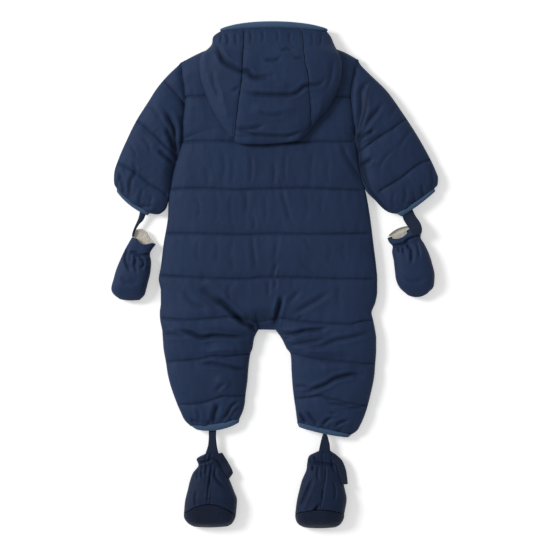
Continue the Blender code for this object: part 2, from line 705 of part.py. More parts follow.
def make_zip():
    """The closed zip between the fronts, from the crotch to the mouth of the hood."""
    outer, inner, steps = [], [], 12
    for i in range(steps + 1):
        y = mix(MOUTH_Y, -66.0, i / steps)
        centre = read(CENTRE, y, "y", "x")
        for across in (-1.0, 0.0, 1.0):
            x = centre + across * (ZIP_HALF - GAP)
            outer.append((x, y, 5.7))
            inner.append((x, y, 4.5))
    wall("zip_chain", outer, inner, net(steps + 1, 3), TAPE_NAVY)


SLIDER_Y = 366.0
PIN_Z = 1.65
BARREL = 1.05
PIN = 0.55


def box(mesh, low, high):
    """Adds a box between two corners."""
    made = bmesh.ops.create_cube(mesh, size=1.0)["verts"]
    for vert in made:
        vert.co = [mix(a, b, c + 0.5) for a, b, c in zip(low, high, vert.co)]


def union(name, parts, colour):
    """Joins overlapping simple shapes into one body."""
    base = put(name, parts[0], colour, 0.35)
    for number, part in enumerate(parts[1:]):
        tool = put(f"{name}_tool_{number}", part, colour)
        tool.hide_render = True
        tool.display_type = "WIRE"
        join = base.modifiers.new("join", "BOOLEAN")
        join.operation = "UNION"
        join.object = tool


def boxes(low, high):
    mesh = bmesh.new()
    box(mesh, low, high)
    return mesh


def rod(x0, x1, y, z, radius, sides=12):
    mesh = bmesh.new()
    turn = Matrix.Translation(((x0 + x1) / 2.0, y, z)) @ Matrix.Rotation(math.pi / 2.0, 4, "Y")
    bmesh.ops.create_cone(
        mesh, cap_ends=True, segments=sides, radius1=radius, radius2=radius, depth=x1 - x0, matrix=turn
    )
    return mesh


def make_slider():
    """The zip's slider: a plate under the chain with two ears and a pin for the pull."""
    centre = read(CENTRE, SLIDER_Y, "y", "x")
    plate = boxes((centre - 4.2, SLIDER_Y - 5.0, 2.9), (centre + 4.2, SLIDER_Y + 5.0, 4.2))
    parts = [plate]
    for way in (-1.0, 1.0):
        ear = centre + way * 2.4
        parts.append(boxes((ear - 0.5, SLIDER_Y - 1.2, 0.9), (ear + 0.5, SLIDER_Y + 1.2, 3.2)))
    parts.append(rod(centre - 2.3, centre + 2.3, SLIDER_Y, PIN_Z, PIN))
    union("zip_slider", parts, DARK_ZIP)


def make_pull():
    """The zip's pull: a barrel on the slider's pin and a flat tab that lies towards the hem."""
    centre = read(CENTRE, SLIDER_Y, "y", "x")
    barrel = rod(centre - 1.6, centre + 1.6, SLIDER_Y, PIN_Z, BARREL)
    neck = boxes((centre - 1.5, SLIDER_Y - 4.0, PIN_Z - 0.5), (centre + 1.5, SLIDER_Y - 0.4, PIN_Z + 0.5))
    tab = boxes((centre - 3.5, SLIDER_Y - 26.0, PIN_Z - 0.5), (centre + 3.5, SLIDER_Y - 3.4, PIN_Z + 0.5))
    pull = put("zip_pull", barrel, DARK_ZIP, 0.35)
    for kind, shape in (("UNION", neck), ("UNION", tab), ("DIFFERENCE", None)):
        if shape is None:
            shape = rod(centre - 3.0, centre + 3.0, SLIDER_Y, PIN_Z, PIN + 0.2)
        tool = put(f"zip_pull_{kind.lower()}_{len(pull.modifiers)}", shape, DARK_ZIP)
        tool.hide_render = True
        tool.display_type = "WIRE"
        cut = pull.modifiers.new(kind.lower(), "BOOLEAN")
        cut.operation = kind
        cut.object = tool


# ---------------------------------------------------------------- hood


def hood_across(row, x):
    return min(max((2.0 * x - row.left - row.right) / (row.right - row.left), -1.0), 1.0)


def hood_top(row, x):
    return row.rim + (row.crest - row.rim) * crown(hood_across(row, x), HOOD_CROWN)


def mouth_bow(row, x):
    """How far the mouth's edge bows out past the straight line between its corners."""
    return MOUTH_BOW * (1.0 - hood_across(row, x) ** 2) if row is HOOD[0] else 0.0


def hood_under(row, x):
    """Height of the face that lies on the back."""
    rest = back_height(x, row.y) + HOOD_CLEAR
    return row.rim - (row.rim - rest) * crown(hood_across(row, x), HOOD_RIM_TURN)


def cloth_between(top, low):
    """How thick each of two layers of the hood is where its top is over its underside."""
    return min(HOOD_WALL, HOOD_LAYER * (top - low))


def make_hood_centre():
    """The middle panel: from the mouth over the crown, round the rolled fold, and under it up to the neck seam."""
    outer, inner, columns = [], [], 7
    shares = [i / (columns - 1) for i in range(columns)]
    for row in HOOD:
        for share in shares:
            x = mix(row.seam_left + GAP, row.seam_right - GAP, share)
            y, z = row.y + mouth_bow(row, x), hood_top(row, x)
            low = back_height(x, row.y) + HOOD_CLEAR if row.y <= NAPE_Y else 0.0
            outer.append((x, y, z))
            inner.append((x, y, z - cloth_between(z, low)))
    last = HOOD[-1]
    for turn in FOLD_TURNS:
        angle = math.radians(turn)
        for share in shares:
            x = mix(last.seam_left + GAP, last.seam_right - GAP, share)
            top, low = hood_top(last, x), back_height(x, last.y) + HOOD_CLEAR
            middle, half = (top + low) / 2.0, (top - low) / 2.0
            slit = half - cloth_between(top, low)
            reach = (last.y - read(HOOD_FOLD, x, "x", "y")) * math.sin(angle)
            outer.append((x, last.y - reach, middle + half * math.cos(angle)))
            inner.append((x, last.y - reach * FOLD_HOLLOW, middle + slit * math.cos(angle)))
    under = [row for row in reversed(HOOD) if row.y <= NAPE_Y]
    for row in under:
        for share in shares:
            x = mix(row.seam_left + GAP, row.seam_right - GAP, share)
            z = back_height(x, row.y) + HOOD_CLEAR
            outer.append((x, row.y, z))
            inner.append((x, row.y, z + cloth_between(hood_top(row, x), z)))
    wall("hood_centre", outer, inner, net(len(HOOD) + len(FOLD_TURNS) + len(under), columns))


def make_hood_side(side):
    """A side panel: from its seam over the crown, round the hood's side, and under it where it lies on the back."""
    left = side == "left"
    rows = HOOD
    over_shares = (0.0, 0.2, 0.42, 0.64, 0.82, 0.94)
    under_shares = (0.94, 0.8, 0.5, 0.0)
    columns = len(over_shares) + 1 + len(under_shares)
    outer, inner = [], []
    for row in rows:
        seam = row.seam_left - GAP if left else row.seam_right + GAP
        rim = row.left if left else row.right
        inset = RIM_INSET * (1.0 if left else -1.0) * min(1.0, abs(rim - seam) / 20.0)
        over, below, over_in, below_in = [], [], [], []
        for share in over_shares:
            x = mix(seam, rim, share)
            z = hood_top(row, x)
            low = hood_under(row, x) if row.y <= NAPE_Y else COLLAR_TOP
            over.append((x, row.y + mouth_bow(row, x), z))
            over_in.append((x + inset * share, row.y + mouth_bow(row, x), z - cloth_between(z, low)))
        for share in under_shares:
            x = mix(seam, rim, share)
            if row.y <= NAPE_Y:
                z, top = hood_under(row, x), hood_top(row, x)
                below.append((x, row.y, z))
                below_in.append((x + inset * share, row.y, z + cloth_between(top, z)))
            else:
                x, step = mix(seam, rim, max(share, 0.9)), 0.3 if share > 0.9 else 0.0
                below.append((x, row.y, mix(COLLAR_TOP, row.rim, step)))
                below_in.append((x + inset * 0.8, row.y, mix(COLLAR_TOP, row.rim, step * 1.3)))
        outer += over + [(rim, row.y, row.rim)] + below
        inner += over_in + [(rim + inset, row.y, (over_in[-1][2] + below_in[0][2]) / 2.0)] + below_in
    first_under = next(i for i, row in enumerate(rows) if row.y <= NAPE_Y)
    keep = []
    for r in range(len(rows) - 1):
        short = r + 1 < first_under + 1
        limit = len(over_shares) + 2 if short else columns - 1
        for c in range(limit):
            near, far = r * columns, (r + 1) * columns
            keep.append((near + c, near + c + 1, far + c + 1, far + c))
    used = sorted({c for face in keep for c in face})
    number = {c: i for i, c in enumerate(used)}
    wall(
        f"hood_side_{side}",
        [outer[c] for c in used],
        [inner[c] for c in used],
        [tuple(number[c] for c in face) for face in keep],
    )


def make_collar(side):
    """The front neck piece, flat on the floor between the neck seam and the mouth of the hood."""
    way = 1.0 if side == "left" else -1.0
    neck = NECK_PLACES[1:] + (ZIP_HALF + 11.4, ZIP_HALF + 0.4)
    mouth = (80.0, 56.0, 34.0, 18.0, ZIP_HALF + 0.4)
    outer, inner, steps = [], [], (0.0, 0.06, 0.5, 0.94, 1.0)
    for step in steps:
        for near, far in zip(neck, mouth):
            seam_y = read(FRONT_TOP, CENTRE[0].x - way * near, "x", "y") + 2.0 * GAP
            x, y = CENTRE[0].x - way * mix(near, far, step), mix(seam_y, MOUTH_Y, step)
            edge = step in (0.0, 1.0)
            outer.append((x, y, 2.4 if edge else 0.0))
            inner.append((x, y, 7.2 if edge else 8.2))
    wall(f"collar_{side}", outer, inner, net(len(steps), len(neck)))


def ribbed(name, path, colour, sides=8):
    """A solid band along a path, whose section is an ellipse."""
    mesh = bmesh.new()
    rings = []
    for i, bend in enumerate(path):
        before, after = path[max(i - 1, 0)], path[min(i + 1, len(path) - 1)]
        way = (after.x - before.x, after.z - before.z)
        length = math.hypot(*way)
        side_x, side_z = -way[1] / length, way[0] / length
        ring = []
        for s in range(sides):
            angle = 2.0 * math.pi * s / sides
            out, up = bend.width / 2.0 * math.cos(angle), bend.height / 2.0 * math.sin(angle)
            ring.append(mesh.verts.new((bend.x + side_x * up, bend.y + out, bend.z + side_z * up)))
        rings.append(ring)
    for first, second in zip(rings, rings[1:]):
        for s in range(sides):
            t = (s + 1) % sides
            mesh.faces.new((first[s], first[t], second[t], second[s]))
    mesh.faces.new(rings[0])
    mesh.faces.new(list(reversed(rings[-1])))
    put(name, mesh, colour)


# ---------------------------------------------------------------- mittens, booties and their straps


def make_mitten(side, table, lip):
    outer, inner, faces, _, _ = tube("mitten", table, 9, shares=(0.0, 0.2, 0.4, 0.6, 0.8), end="closed")
    wall(f"mitten_{side}", outer, inner, faces)
    points, under = [], []
    for row in lip:
        for across in spread(7):
            x, y = across_row(row, across)
            points.append((x, y, SLIT_LOW))
            under.append((x, y, 3.5 if abs(across) < 1.0 else 6.0))
    wall(f"mitten_lip_{side}", points, under, net(len(lip), 7), CREAM)


def make_bootie(side, table, sole):
    """A bootie's two upper halves, sewn along the heel, and its sole."""
    places = spread(11)
    rows = quilted(table, (0.0, 0.25, 0.5, 0.75))
    for half, chosen in (("inner", [p for p in places if p >= 0.0]), ("outer", [p for p in places if p <= 0.0])):
        if half == "outer":
            chosen = list(reversed(chosen))
        outer, inner = [], []
        for row in rows:
            for across in chosen:
                shift = GAP / 2.0 / math.hypot(row.bx - row.ax, row.by - row.ay) * 2.0
                place = max(across, shift) if half == "inner" else min(across, -shift)
                x, y = across_row(row, place)
                outer.append((x, y, SEAM + crest_of(row) * crown(place)))
                x, y = across_row(row, place, WALL)
                middle = (SLIT_LOW + SLIT_HIGH) / 2.0
                inner.append((x, y, SLIT_HIGH if abs(across) < 1.0 else middle))
            for across in reversed(chosen[:-1]):
                place = max(across, shift) if half == "inner" else min(across, -shift)
                x, y = across_row(row, place)
                outer.append((x, y, underside(place, lip=SEAM)))
                x, y = across_row(row, place, WALL)
                inner.append((x, y, SLIT_LOW))
        wall(f"bootie_{side}_{half}", outer, inner, net(len(rows), 2 * len(chosen) - 1))
    outer, inner, faces, _, size = tube("sole", sole, 11, shares=None, end="closed")
    wall(f"bootie_{side}_sole", outer, inner, faces, DARK_SOLE)


Tape = namedtuple("Tape", "x y z half_x half_y")
STRAPS = {
    "mitten_strap_left": (
        Tape(-211.7, 99.7, 14.6, 2.2, -1.6),
        Tape(-213.8, 90.0, 13.6, 2.6, -0.6),
        Tape(-220.0, 78.0, 12.6, 2.6, 1.2),
        Tape(-226.0, 67.0, 11.9, 2.6, 1.4),
    ),
    "mitten_strap_right": (
        Tape(212.2, 99.5, 14.6, 6.0, 4.35),
        Tape(217.2, 89.6, 14.5, 6.0, 4.0),
        Tape(221.95, 79.15, 14.6, 5.2, 3.75),
    ),
    "bootie_strap_left": (
        Tape(-100.7, -244.95, 14.6, 4.9, 0.95),
        Tape(-100.4, -258.0, 14.4, 5.2, 0.4),
        Tape(-100.0, -272.0, 14.6, 6.4, 0.0),
        Tape(-101.4, -285.65, 15.0, 7.6, 0.3),
    ),
    "bootie_strap_right": (
        Tape(79.9, -252.85, 14.6, 1.4, -0.28),
        Tape(80.0, -260.8, 14.4, 4.0, -0.3),
        Tape(79.8, -271.0, 14.6, 6.6, 0.0),
        Tape(79.2, -281.95, 15.0, 7.8, 0.6),
    ),
    "bootie_tab_left": (
        Tape(-90.2, -285.4, 18.8, 5.4, 1.2),
        Tape(-83.6, -298.0, 20.0, 5.6, 2.6),
        Tape(-76.6, -311.0, 22.6, 5.8, 3.2),
        Tape(-70.4, -322.0, 22.4, 3.4, 4.8),
    ),
    "bootie_tab_right": (
        Tape(103.6, -303.0, 22.0, 3.6, 1.2),
        Tape(107.0, -314.0, 22.4, 4.4, 1.4),
        Tape(110.4, -325.0, 21.4, 4.6, 1.2),
        Tape(112.4, -334.6, 19.4, 3.2, 0.4),
    ),
}
TAPE_THICK = 1.6


def make_strap(name, path):
    """A flat tape along its path, standing on the places that it joins."""
    outer, inner = [], []
    for tape in path:
        for across in (-1.0, 0.0, 1.0):
            x, y = tape.x + across * tape.half_x, tape.y + across * tape.half_y
            outer.append((x, y, tape.z))
            inner.append((x, y, tape.z - TAPE_THICK))
    wall(name, outer, inner, net(len(path), 3), TAPE_NAVY)


def main():
    for old in list(bpy.data.objects):
        bpy.data.objects.remove(old, do_unlink=True)
    make_back()
    make_front("left", "front_left")
    make_front("right", "front_right")
    make_sleeve("left", SLEEVE_LEFT)
    make_sleeve("right", SLEEVE_RIGHT)
    make_band("cuff_binding_left", CUFF_LEFT)
    make_band("cuff_binding_right", CUFF_RIGHT)
    make_band("hem_binding_left", HEM_LEFT)
    make_band("hem_binding_right", HEM_RIGHT)
    make_zip()
    make_slider()
    make_pull()
    make_hood_centre()
    make_hood_side("left")
    make_hood_side("right")
    make_collar("left")
    make_collar("right")
    ribbed("hood_binding", MOUTH, BLUE_BINDING)
    make_mitten("left", MITTEN_LEFT, MITTEN_LIP_LEFT)
    make_mitten("right", MITTEN_RIGHT, MITTEN_LIP_RIGHT)
    make_bootie("left", BOOTIE_LEFT, SOLE_LEFT)
    make_bootie("right", BOOTIE_RIGHT, SOLE_RIGHT)
    for name, path in STRAPS.items():
        make_strap(name, path)


if __name__ == "__main__":
    main()
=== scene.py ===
"""Looks of a padded baby snowsuit that lies face down with its hood thrown back.

The suit lies on the plane z = 0 with its head towards +Y, and the wearer's left side is at -X. Sizes are in
millimetres up to the mesh of each piece, which is in metres. A padded piece is a grid of points over its top
and under it. Its section comes from a table of rows, and its sewn lines, folds and puckers draw it down.
Each operator makes one group of pieces from its own settings, and main() calls them in order.
"""

import math
from collections import namedtuple

import bpy
import numpy as np
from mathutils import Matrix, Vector
from mathutils.bvhtree import BVHTree


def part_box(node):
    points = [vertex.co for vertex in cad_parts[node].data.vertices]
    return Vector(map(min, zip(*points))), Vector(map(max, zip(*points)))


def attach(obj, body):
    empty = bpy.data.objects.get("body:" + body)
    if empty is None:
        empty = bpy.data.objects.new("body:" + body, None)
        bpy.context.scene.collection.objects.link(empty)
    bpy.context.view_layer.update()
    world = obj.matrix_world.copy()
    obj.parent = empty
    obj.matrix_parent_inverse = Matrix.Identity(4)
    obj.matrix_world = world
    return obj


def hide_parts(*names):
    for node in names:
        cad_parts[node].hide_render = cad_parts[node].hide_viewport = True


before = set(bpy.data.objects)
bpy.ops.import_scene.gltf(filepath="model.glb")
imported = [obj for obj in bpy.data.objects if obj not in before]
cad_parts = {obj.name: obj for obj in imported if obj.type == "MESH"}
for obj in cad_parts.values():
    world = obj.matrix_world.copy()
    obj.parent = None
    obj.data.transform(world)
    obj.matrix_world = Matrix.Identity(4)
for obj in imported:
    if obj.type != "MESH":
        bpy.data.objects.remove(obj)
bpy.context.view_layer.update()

bl_info = {
    "name": "Padded snowsuit",
    "version": (1, 0, 0),
    "blender": (4, 5, 0),
    "location": "View3D > Sidebar > Snowsuit",
    "description": "Makes the cloth, seams, zip and stage of a padded baby snowsuit",
    "category": "Add Mesh",
}

MM = 0.001
SIDES = ("left", "right")

# Layers of cloth, as heights over the floor in mm
SEAM = 11.2  # widest point of a rounded side
SEAM_LOW = 10.3  # lower edge of the upper layer
SLIT_LOW, SLIT_HIGH = 10.0, 12.5  # inner faces of the two layers
LIP = 1.4  # thickness of the upper layer at its edge
WALL = 3.0  # thickness of a tube's side
LEAST_WALL = 0.8  # thickness that is left where a fold is deepest
SLACK = 1.4  # padding that stays under the deepest seam of the back
FLAT = 0.25  # an underside lower than this lies on the floor
CROWN = 3.2  # power of a padded section: flat on top, round at both sides
FLOOR_TURN = 14.0  # power of the tight turn between a side and the flat underside
GRID = 1.55  # step of the large padded grids along a piece

# Places across the other grids, and their steps along a piece in mm
ACROSS = {
    "front": 30, "sleeve": 62, "band": 150, "hood": 64, "hood_side": 44, "collar": 30,
    "mitten": 56, "lip": 44, "bootie": 71, "sole": 50, "strap": 11, "zip": 15,
}
STEP = {"front": 3.0, "band": 0.8, "hood": 1.6, "mitten": 1.4, "bootie": 1.4, "sole": 1.3}

# The body
SHOULDER_Y, NAPE_Y, MOUTH_Y, ARMPIT_Y, CROTCH_Y = 340.0, 352.0, 386.0, 216.8, -87.6
SPLIT_TOP = -48.0  # from here down, one crown turns into the two crowns of the legs
LEG_COLUMNS, CROTCH_COLUMNS = 57, 8  # of the padded grid, over a leg and between the legs
BACK_CREST, LEG_CREST = 19.0, 18.0  # crest of the back's padding; the crest that the rows of the legs are for
ARMHOLE_EDGE = 0.62  # height of the armhole's edge, as a share of the crest
ARMHOLE_GROOVE = 4.2  # depth and reach of the groove where a sleeve is sewn in
SLEEVE_FADE = 42.0  # from here down, a sleeve follows its own table and not the armhole
SHOULDER_ROUND = 34.0  # length of the round that comes down to the shoulder seam
NECK_X, NECK_HALF, NECK_EDGE = -7.0, 70.0, 0.5  # the neck's middle, half its width, and its edge as a share
FRONT_LIP, FRONT_ROUND = 7.6, 12.0  # height and reach of the fronts' round lower edge
ZIP_HALF = 7.6  # half the gap between the fronts, where the zip lies
BAND_TUCK, BAND_ROLL = 1.8, 1.3  # how far a binding starts inside its piece, and how round it is

# The hood
HOOD_CROWN, HOOD_RIM_TURN = 2.6, 8.0  # powers of its section over and under the rim
HOOD_WALL, HOOD_LAYER = 5.0, 0.35  # its cloth: at most this, and this share of the height under it
HOOD_CLEAR = 2.6  # room between the hood and the back
MOUTH_BOW = 4.6  # how far the edge of its mouth bows out between the corners
COLLAR_TOP = 8.4  # top of the collar, under the hood
SEAM_GAP = 0.12  # half the gap between two panels

# Mittens and booties
SAG, SAG_HALF, SAG_REACH = 6.4, 0.72, 8.0  # the sag of a mitten's mouth: depth, half its width, and length
BAG_ROWS = 4  # last rings of a closed end whose inner points are drawn back
HEEL_GAP = 0.03  # half the gap between a bootie's halves

# Sewing, tapes and zip
SEWN_PAINTED_SHADE, SEWN_WIDTH = 1.9, 2.4  # painted shade: darkness and width of a sewn line, as those of a fold
CREASE_FULL, CREASE_SHARE = 6.0, 0.5  # painted shade: depth of the fold that is painted darkest; the share of a fold's width that is painted dark
THREAD_LIFT = 0.12  # height of a thread's middle over the cloth
SIDE_HEIGHT = 13.0  # below this, a sewn line is inside the side seam
LINE_STEP = 1.2  # step from point to point of a sewn line
TEETH_LOW, TEETH_HEIGHT = -63.0, 3.9  # where the zip's coils begin, and how high they are
TAPE_WIDTH = 10.8  # the tapes are this wide when they are flat; a narrower place is curled over
TAPE_THICK = 1.5  # of the straps and tabs
TAB_LEAN = 6.0  # how far a tab's outer edge hangs below its inner edge
TAB_LIFT = 1.7  # height of a tab's top over its bootie, at the inner edge

# Where the uneven values of each piece start
SEED = {
    "back": 11, "sleeve_left": 21, "sleeve_right": 22, "hood": 31, "mitten_left": 41, "mitten_right": 42,
    "lip": 51, "bootie_left": 61, "bootie_right": 62, "armhole": 71, "strap": 81,
}

CREASE_PAINTED_SHADE = 0.68  # painted shade: share of its colour that cloth loses in the deepest crease
UPRIGHT_PAINTED_SHADE = 0.38  # painted shade: and where it stands upright, as round an edge or in a groove

Edge = namedtuple("Edge", "y left right")
Point = namedtuple("Point", "x y")
# A row is a line across a piece, from point a to point b. crest is the height of its padding over the seam,
# and bow is how far its middle lies off the straight line, to the right of the way from a to b.
Row = namedtuple("Row", "ax ay bx by crest bow", defaults=(0.0,))
HoodRow = namedtuple("HoodRow", "y left seam_left seam_right right rim crest")
Bend = namedtuple("Bend", "x y z width height")
Tape = namedtuple("Tape", "x y z half_x half_y")
Fold = namedtuple("Fold", "depth width points")


def table(kind, *rows):
    return tuple(kind(*map(float, row)) for row in rows)


TORSO = table(
    Edge,
    (345, -152, 138), (335, -151, 131.2), (322.4, -150.4, 128.2), (303.2, -146.4, 124),
    (284, -144.8, 122.4), (266.4, -144.8, 124), (245.6, -148, 126.4), (216.8, -149.6, 128.8),
    (191.2, -156, 132.5), (170.4, -162.4, 135.2), (151.2, -166.2, 140.8), (124, -170.4, 147.2),
    (90.4, -172, 152.8), (52, -178.4, 157.6), (13.6, -183.2, 162.4), (-5.6, -186.4, 164),
    (-24.8, -183.2, 164), (-44, -183.2, 160.8), (-60, -184.8, 155), (-72, -184, 157.6),
    (-88, -180.8, 160.8),
)
BACK_TOP = table(
    Point,
    (-152, 340), (-112.8, 359.2), (-77.6, 368.8), (-39, 360), (-7, 356), (25, 360), (63.6, 368.8),
    (106, 359.2), (138, 342.4),
)
FRONT_TOP = table(
    Point,
    (-152, 340), (-112.8, 359.2), (-77.6, 368.8), (-55, 350), (-30, 338), (-7, 334), (16, 338), (41, 350),
    (63.6, 368.8), (106, 359.2), (138, 342.4),
)
CENTRE = table(
    Point,
    (-7, 340), (-11, -5), (-12.8, -88),
)

LEG_LEFT = table(
    Row,
    (-180.8, -88.8, -26.4, -87.2, 17.5), (-180, -101.6, -32.8, -100, 17.5),
    (-178.4, -120.8, -36, -117.6, 17.5), (-175.2, -138.4, -39.2, -125.6, 17, -3),
    (-172, -159.2, -42.4, -148, 17), (-167.2, -178.4, -44, -168.8, 16.5),
    (-156.8, -207.2, -47.2, -192.8, 15.5, -4), (-151.2, -220, -48.8, -208.8, 14),
    (-144.8, -232.8, -52, -220, 12, 1.6), (-135.2, -242.4, -56.8, -230.4, 8, 3),
)
LEG_RIGHT = table(
    Row,
    (0.8, -88, 160.8, -88.8, 17.5), (10.4, -101.6, 162.4, -101.6, 17.5),
    (18.4, -117.6, 162.4, -120.8, 17.5), (24.8, -127.2, 160.8, -142.4, 17, -2),
    (26.4, -152.8, 159.2, -162.4, 17), (28, -176.8, 155.2, -183.2, 16.5),
    (30.4, -197.6, 148, -212, 15.5, -3), (32.8, -213.6, 143.2, -226.4, 14),
    (34.4, -226.4, 136.8, -240.8, 12), (35.2, -232.4, 131, -250, 10.4), (36, -237.6, 120.8, -256.8, 8),
)
SLEEVE_LEFT = table(
    Row,
    (-153.4, 341, -150.6, 216.8, 12.4), (-181.6, 311.6, -150.8, 205.6, 15),
    (-200.8, 281.6, -153.2, 194.4, 16), (-221.6, 248.8, -156.6, 183.2, 15.5),
    (-236.8, 218.4, -162.4, 164, 15.5), (-252, 183.2, -168.6, 132, 15), (-257.6, 165.6, -171.2, 116.4, 14),
    (-258.4, 152.8, -177, 103.4, 12.5), (-257.6, 145, -189.6, 97, 10, 2.4),
    (-253.6, 138.4, -200.8, 98.6, 7, 4),
)
SLEEVE_RIGHT = table(
    Row,
    (138, 345, 129.6, 218.4, 12.4), (164, 314.8, 129.6, 208.8, 15), (188, 284, 130.6, 202.4, 16),
    (212, 248.8, 131.6, 194.4, 15.5), (231.2, 218.4, 136.2, 164, 15.5), (250.4, 183.2, 146.4, 134, 15),
    (257.6, 167.2, 160.6, 119.6, 14), (261.6, 154.4, 175.2, 104.8, 12.5), (260.8, 144.8, 186.4, 99.2, 10),
    (255.4, 138.4, 196.8, 97.9, 7, -1.6),
)
CUFF_LEFT = table(
    Row,
    (-253.8, 138, -200.9, 98.7, 7.6, 4), (-253.6, 133.4, -205, 95.6, 6.6, 4.2),
)
CUFF_RIGHT = table(
    Row,
    (255.7, 138, 197, 97.4, 7.6, -1.6), (257, 134.2, 202.4, 93.8, 6.6, -1.8),
)
HEM_LEFT = table(
    Row,
    (-134, -242.4, -56.8, -230.9, 7.6, 3.4), (-126.4, -247.6, -58, -236.6, 6.4, 6.2),
)
HEM_RIGHT = table(
    Row,
    (36, -238.1, 120.9, -257.2, 7.6), (38.4, -243.8, 117.4, -260.4, 6.4, 2),
)
MITTEN_LEFT = table(
    Row,
    (-229.4, 60.6, -190.8, 49.8, 9), (-241, 40, -200.4, 33, 10), (-248.8, 23.2, -198.4, 20, 15),
    (-255.2, 7.2, -200, 2.4, 16.5), (-259.2, -7.2, -203.2, -10.4, 16.5), (-262.6, -21.6, -206.4, -23.2, 15),
    (-258.6, -31.2, -209.6, -32.8, 11), (-248.8, -38.8, -216.8, -40, 4, 1.4),
)
MITTEN_RIGHT = table(
    Row,
    (180, 59.2, 231.4, 85, 9, 3.4), (182.8, 52.8, 235.6, 74.4, 11, 3.2), (188.6, 45.2, 233.6, 60.8, 9.4, 3),
    (187.6, 38, 239.2, 50.4, 12.6, 2), (190.2, 22.6, 247, 34.4, 16), (192, 7.2, 252, 18.4, 16.5),
    (194.4, -8.8, 256, -0.8, 16), (200.8, -21.6, 254.4, -18.4, 12, 1.4), (212, -31.6, 245.6, -28.4, 4, 5.4),
)
# The mouth's lower lip reaches past the upper one, and the fleece shows on it
MITTEN_LIP_LEFT = table(
    Row,
    (-227, 70.4, -202.6, 62.6, 0, -7.6), (-229, 60, -191.8, 49.2, 0),
)
MITTEN_LIP_RIGHT = table(
    Row,
    (183.6, 65, 215.5, 78.6, 0, -3.6), (180.9, 61.3, 217.4, 76.1, 0, 1.2),
)
BOOTIE_LEFT = table(
    Row,
    (-111.2, -286.4, -92, -285.6, 6), (-125.8, -295.4, -87.2, -298.4, 10),
    (-122.8, -304.8, -81.6, -309.6, 9), (-131.6, -317.2, -76.2, -320.4, 13),
    (-136.8, -331.2, -71.2, -332, 17), (-140, -344.8, -65.6, -346.4, 20),
    (-144, -360.8, -60.8, -360.8, 22, -6), (-146.2, -382, -62.6, -384, 22, -18),
)
BOOTIE_RIGHT = table(
    Row,
    (68, -283.2, 88.8, -281.6, 6), (54.4, -290.4, 97.2, -288.8, 10), (51.6, -301, 101.6, -301.6, 9.6),
    (50, -312.8, 104.8, -316, 13), (43.2, -328.8, 108.8, -330.4, 17), (39.2, -343.2, 112, -343.2, 20),
    (35.2, -360.8, 114.9, -359.2, 22, -3), (32.4, -382, 111.4, -382, 22, -8),
)
SOLE_LEFT = table(
    Row,
    (-146.4, -383.2, -62.8, -385.2, 21.4, -18), (-145.8, -389, -64, -390, 20.5, -8),
    (-141.6, -396, -66.6, -395.2, 17), (-136, -400.6, -70.4, -399.8, 10, 1.2),
    (-130, -403.4, -75.6, -402.8, 3, 1.4),
)
SOLE_RIGHT = table(
    Row,
    (32.2, -383.2, 111.2, -383.2, 21.4, -8), (32.6, -389, 110.8, -388.4, 20.5, -3.6),
    (35, -396.4, 108, -395.2, 17), (39.8, -401.4, 103.4, -401, 10, 1.2), (46, -404.4, 97.8, -404.2, 3, 1.6),
)

# Hood, thrown back on the shoulders: at each y, its outline and panel seams and the height of its crown
HOOD = table(
    HoodRow,
    (392.4, -84.5, -49, 42.5, 81, 15, 28), (381.6, -99, -49.6, 44.4, 89.4, 15, 34),
    (368.8, -101.6, -50, 45.4, 94.8, 16, 40), (352, -116, -50.7, 46.4, 102.4, 28, 46),
    (335.2, -120.8, -51.4, 48.4, 106.7, 30, 49), (314.4, -119.2, -52.4, 53.4, 105.6, 31.5, 51),
    (288.8, -111.2, -56, 54.6, 97.3, 32, 52), (264.8, -101.6, -59.2, 56.8, 84.4, 33, 51),
    (240, -87.2, -62, 57.2, 63, 34, 48.5), (227.2, -77.3, -63.4, 48.6, 52.2, 35, 46),
    (219, -70.8, -64.6, 41.6, 45, 36, 43.5),
)
# The rolled bottom edge of the hood's centre panel, and the binding round its mouth
HOOD_FOLD = table(
    Point,
    (-66, 213), (-60, 210), (-46.4, 207.8), (-24.8, 207.6), (0.8, 209), (26.4, 211.6), (36, 213.6),
    (42, 216),
)
MOUTH = table(
    Bend,
    (-15.2, 390.4, 4.6, 8, 8), (-44, 390.6, 4.8, 8, 8), (-68, 391, 5.2, 7, 8), (-80.5, 392.2, 8.8, 5, 8),
    (-84, 392.4, 14.6, 5, 8), (-78, 393.8, 20, 6.6, 8), (-60, 396.6, 24, 9, 8), (-34, 398.8, 26.6, 10.4, 8),
    (-4, 399.6, 27.6, 10.8, 8), (26, 398.8, 26.6, 10.4, 8), (54, 396.6, 24, 9, 8),
    (73.5, 393.8, 20, 6.6, 8), (80.5, 392.4, 14.6, 5, 8), (77, 392.2, 8.8, 5, 8), (63, 391, 5.2, 7, 8),
    (34, 390.6, 4.8, 8, 8), (0.8, 390.4, 4.6, 8, 8),
)

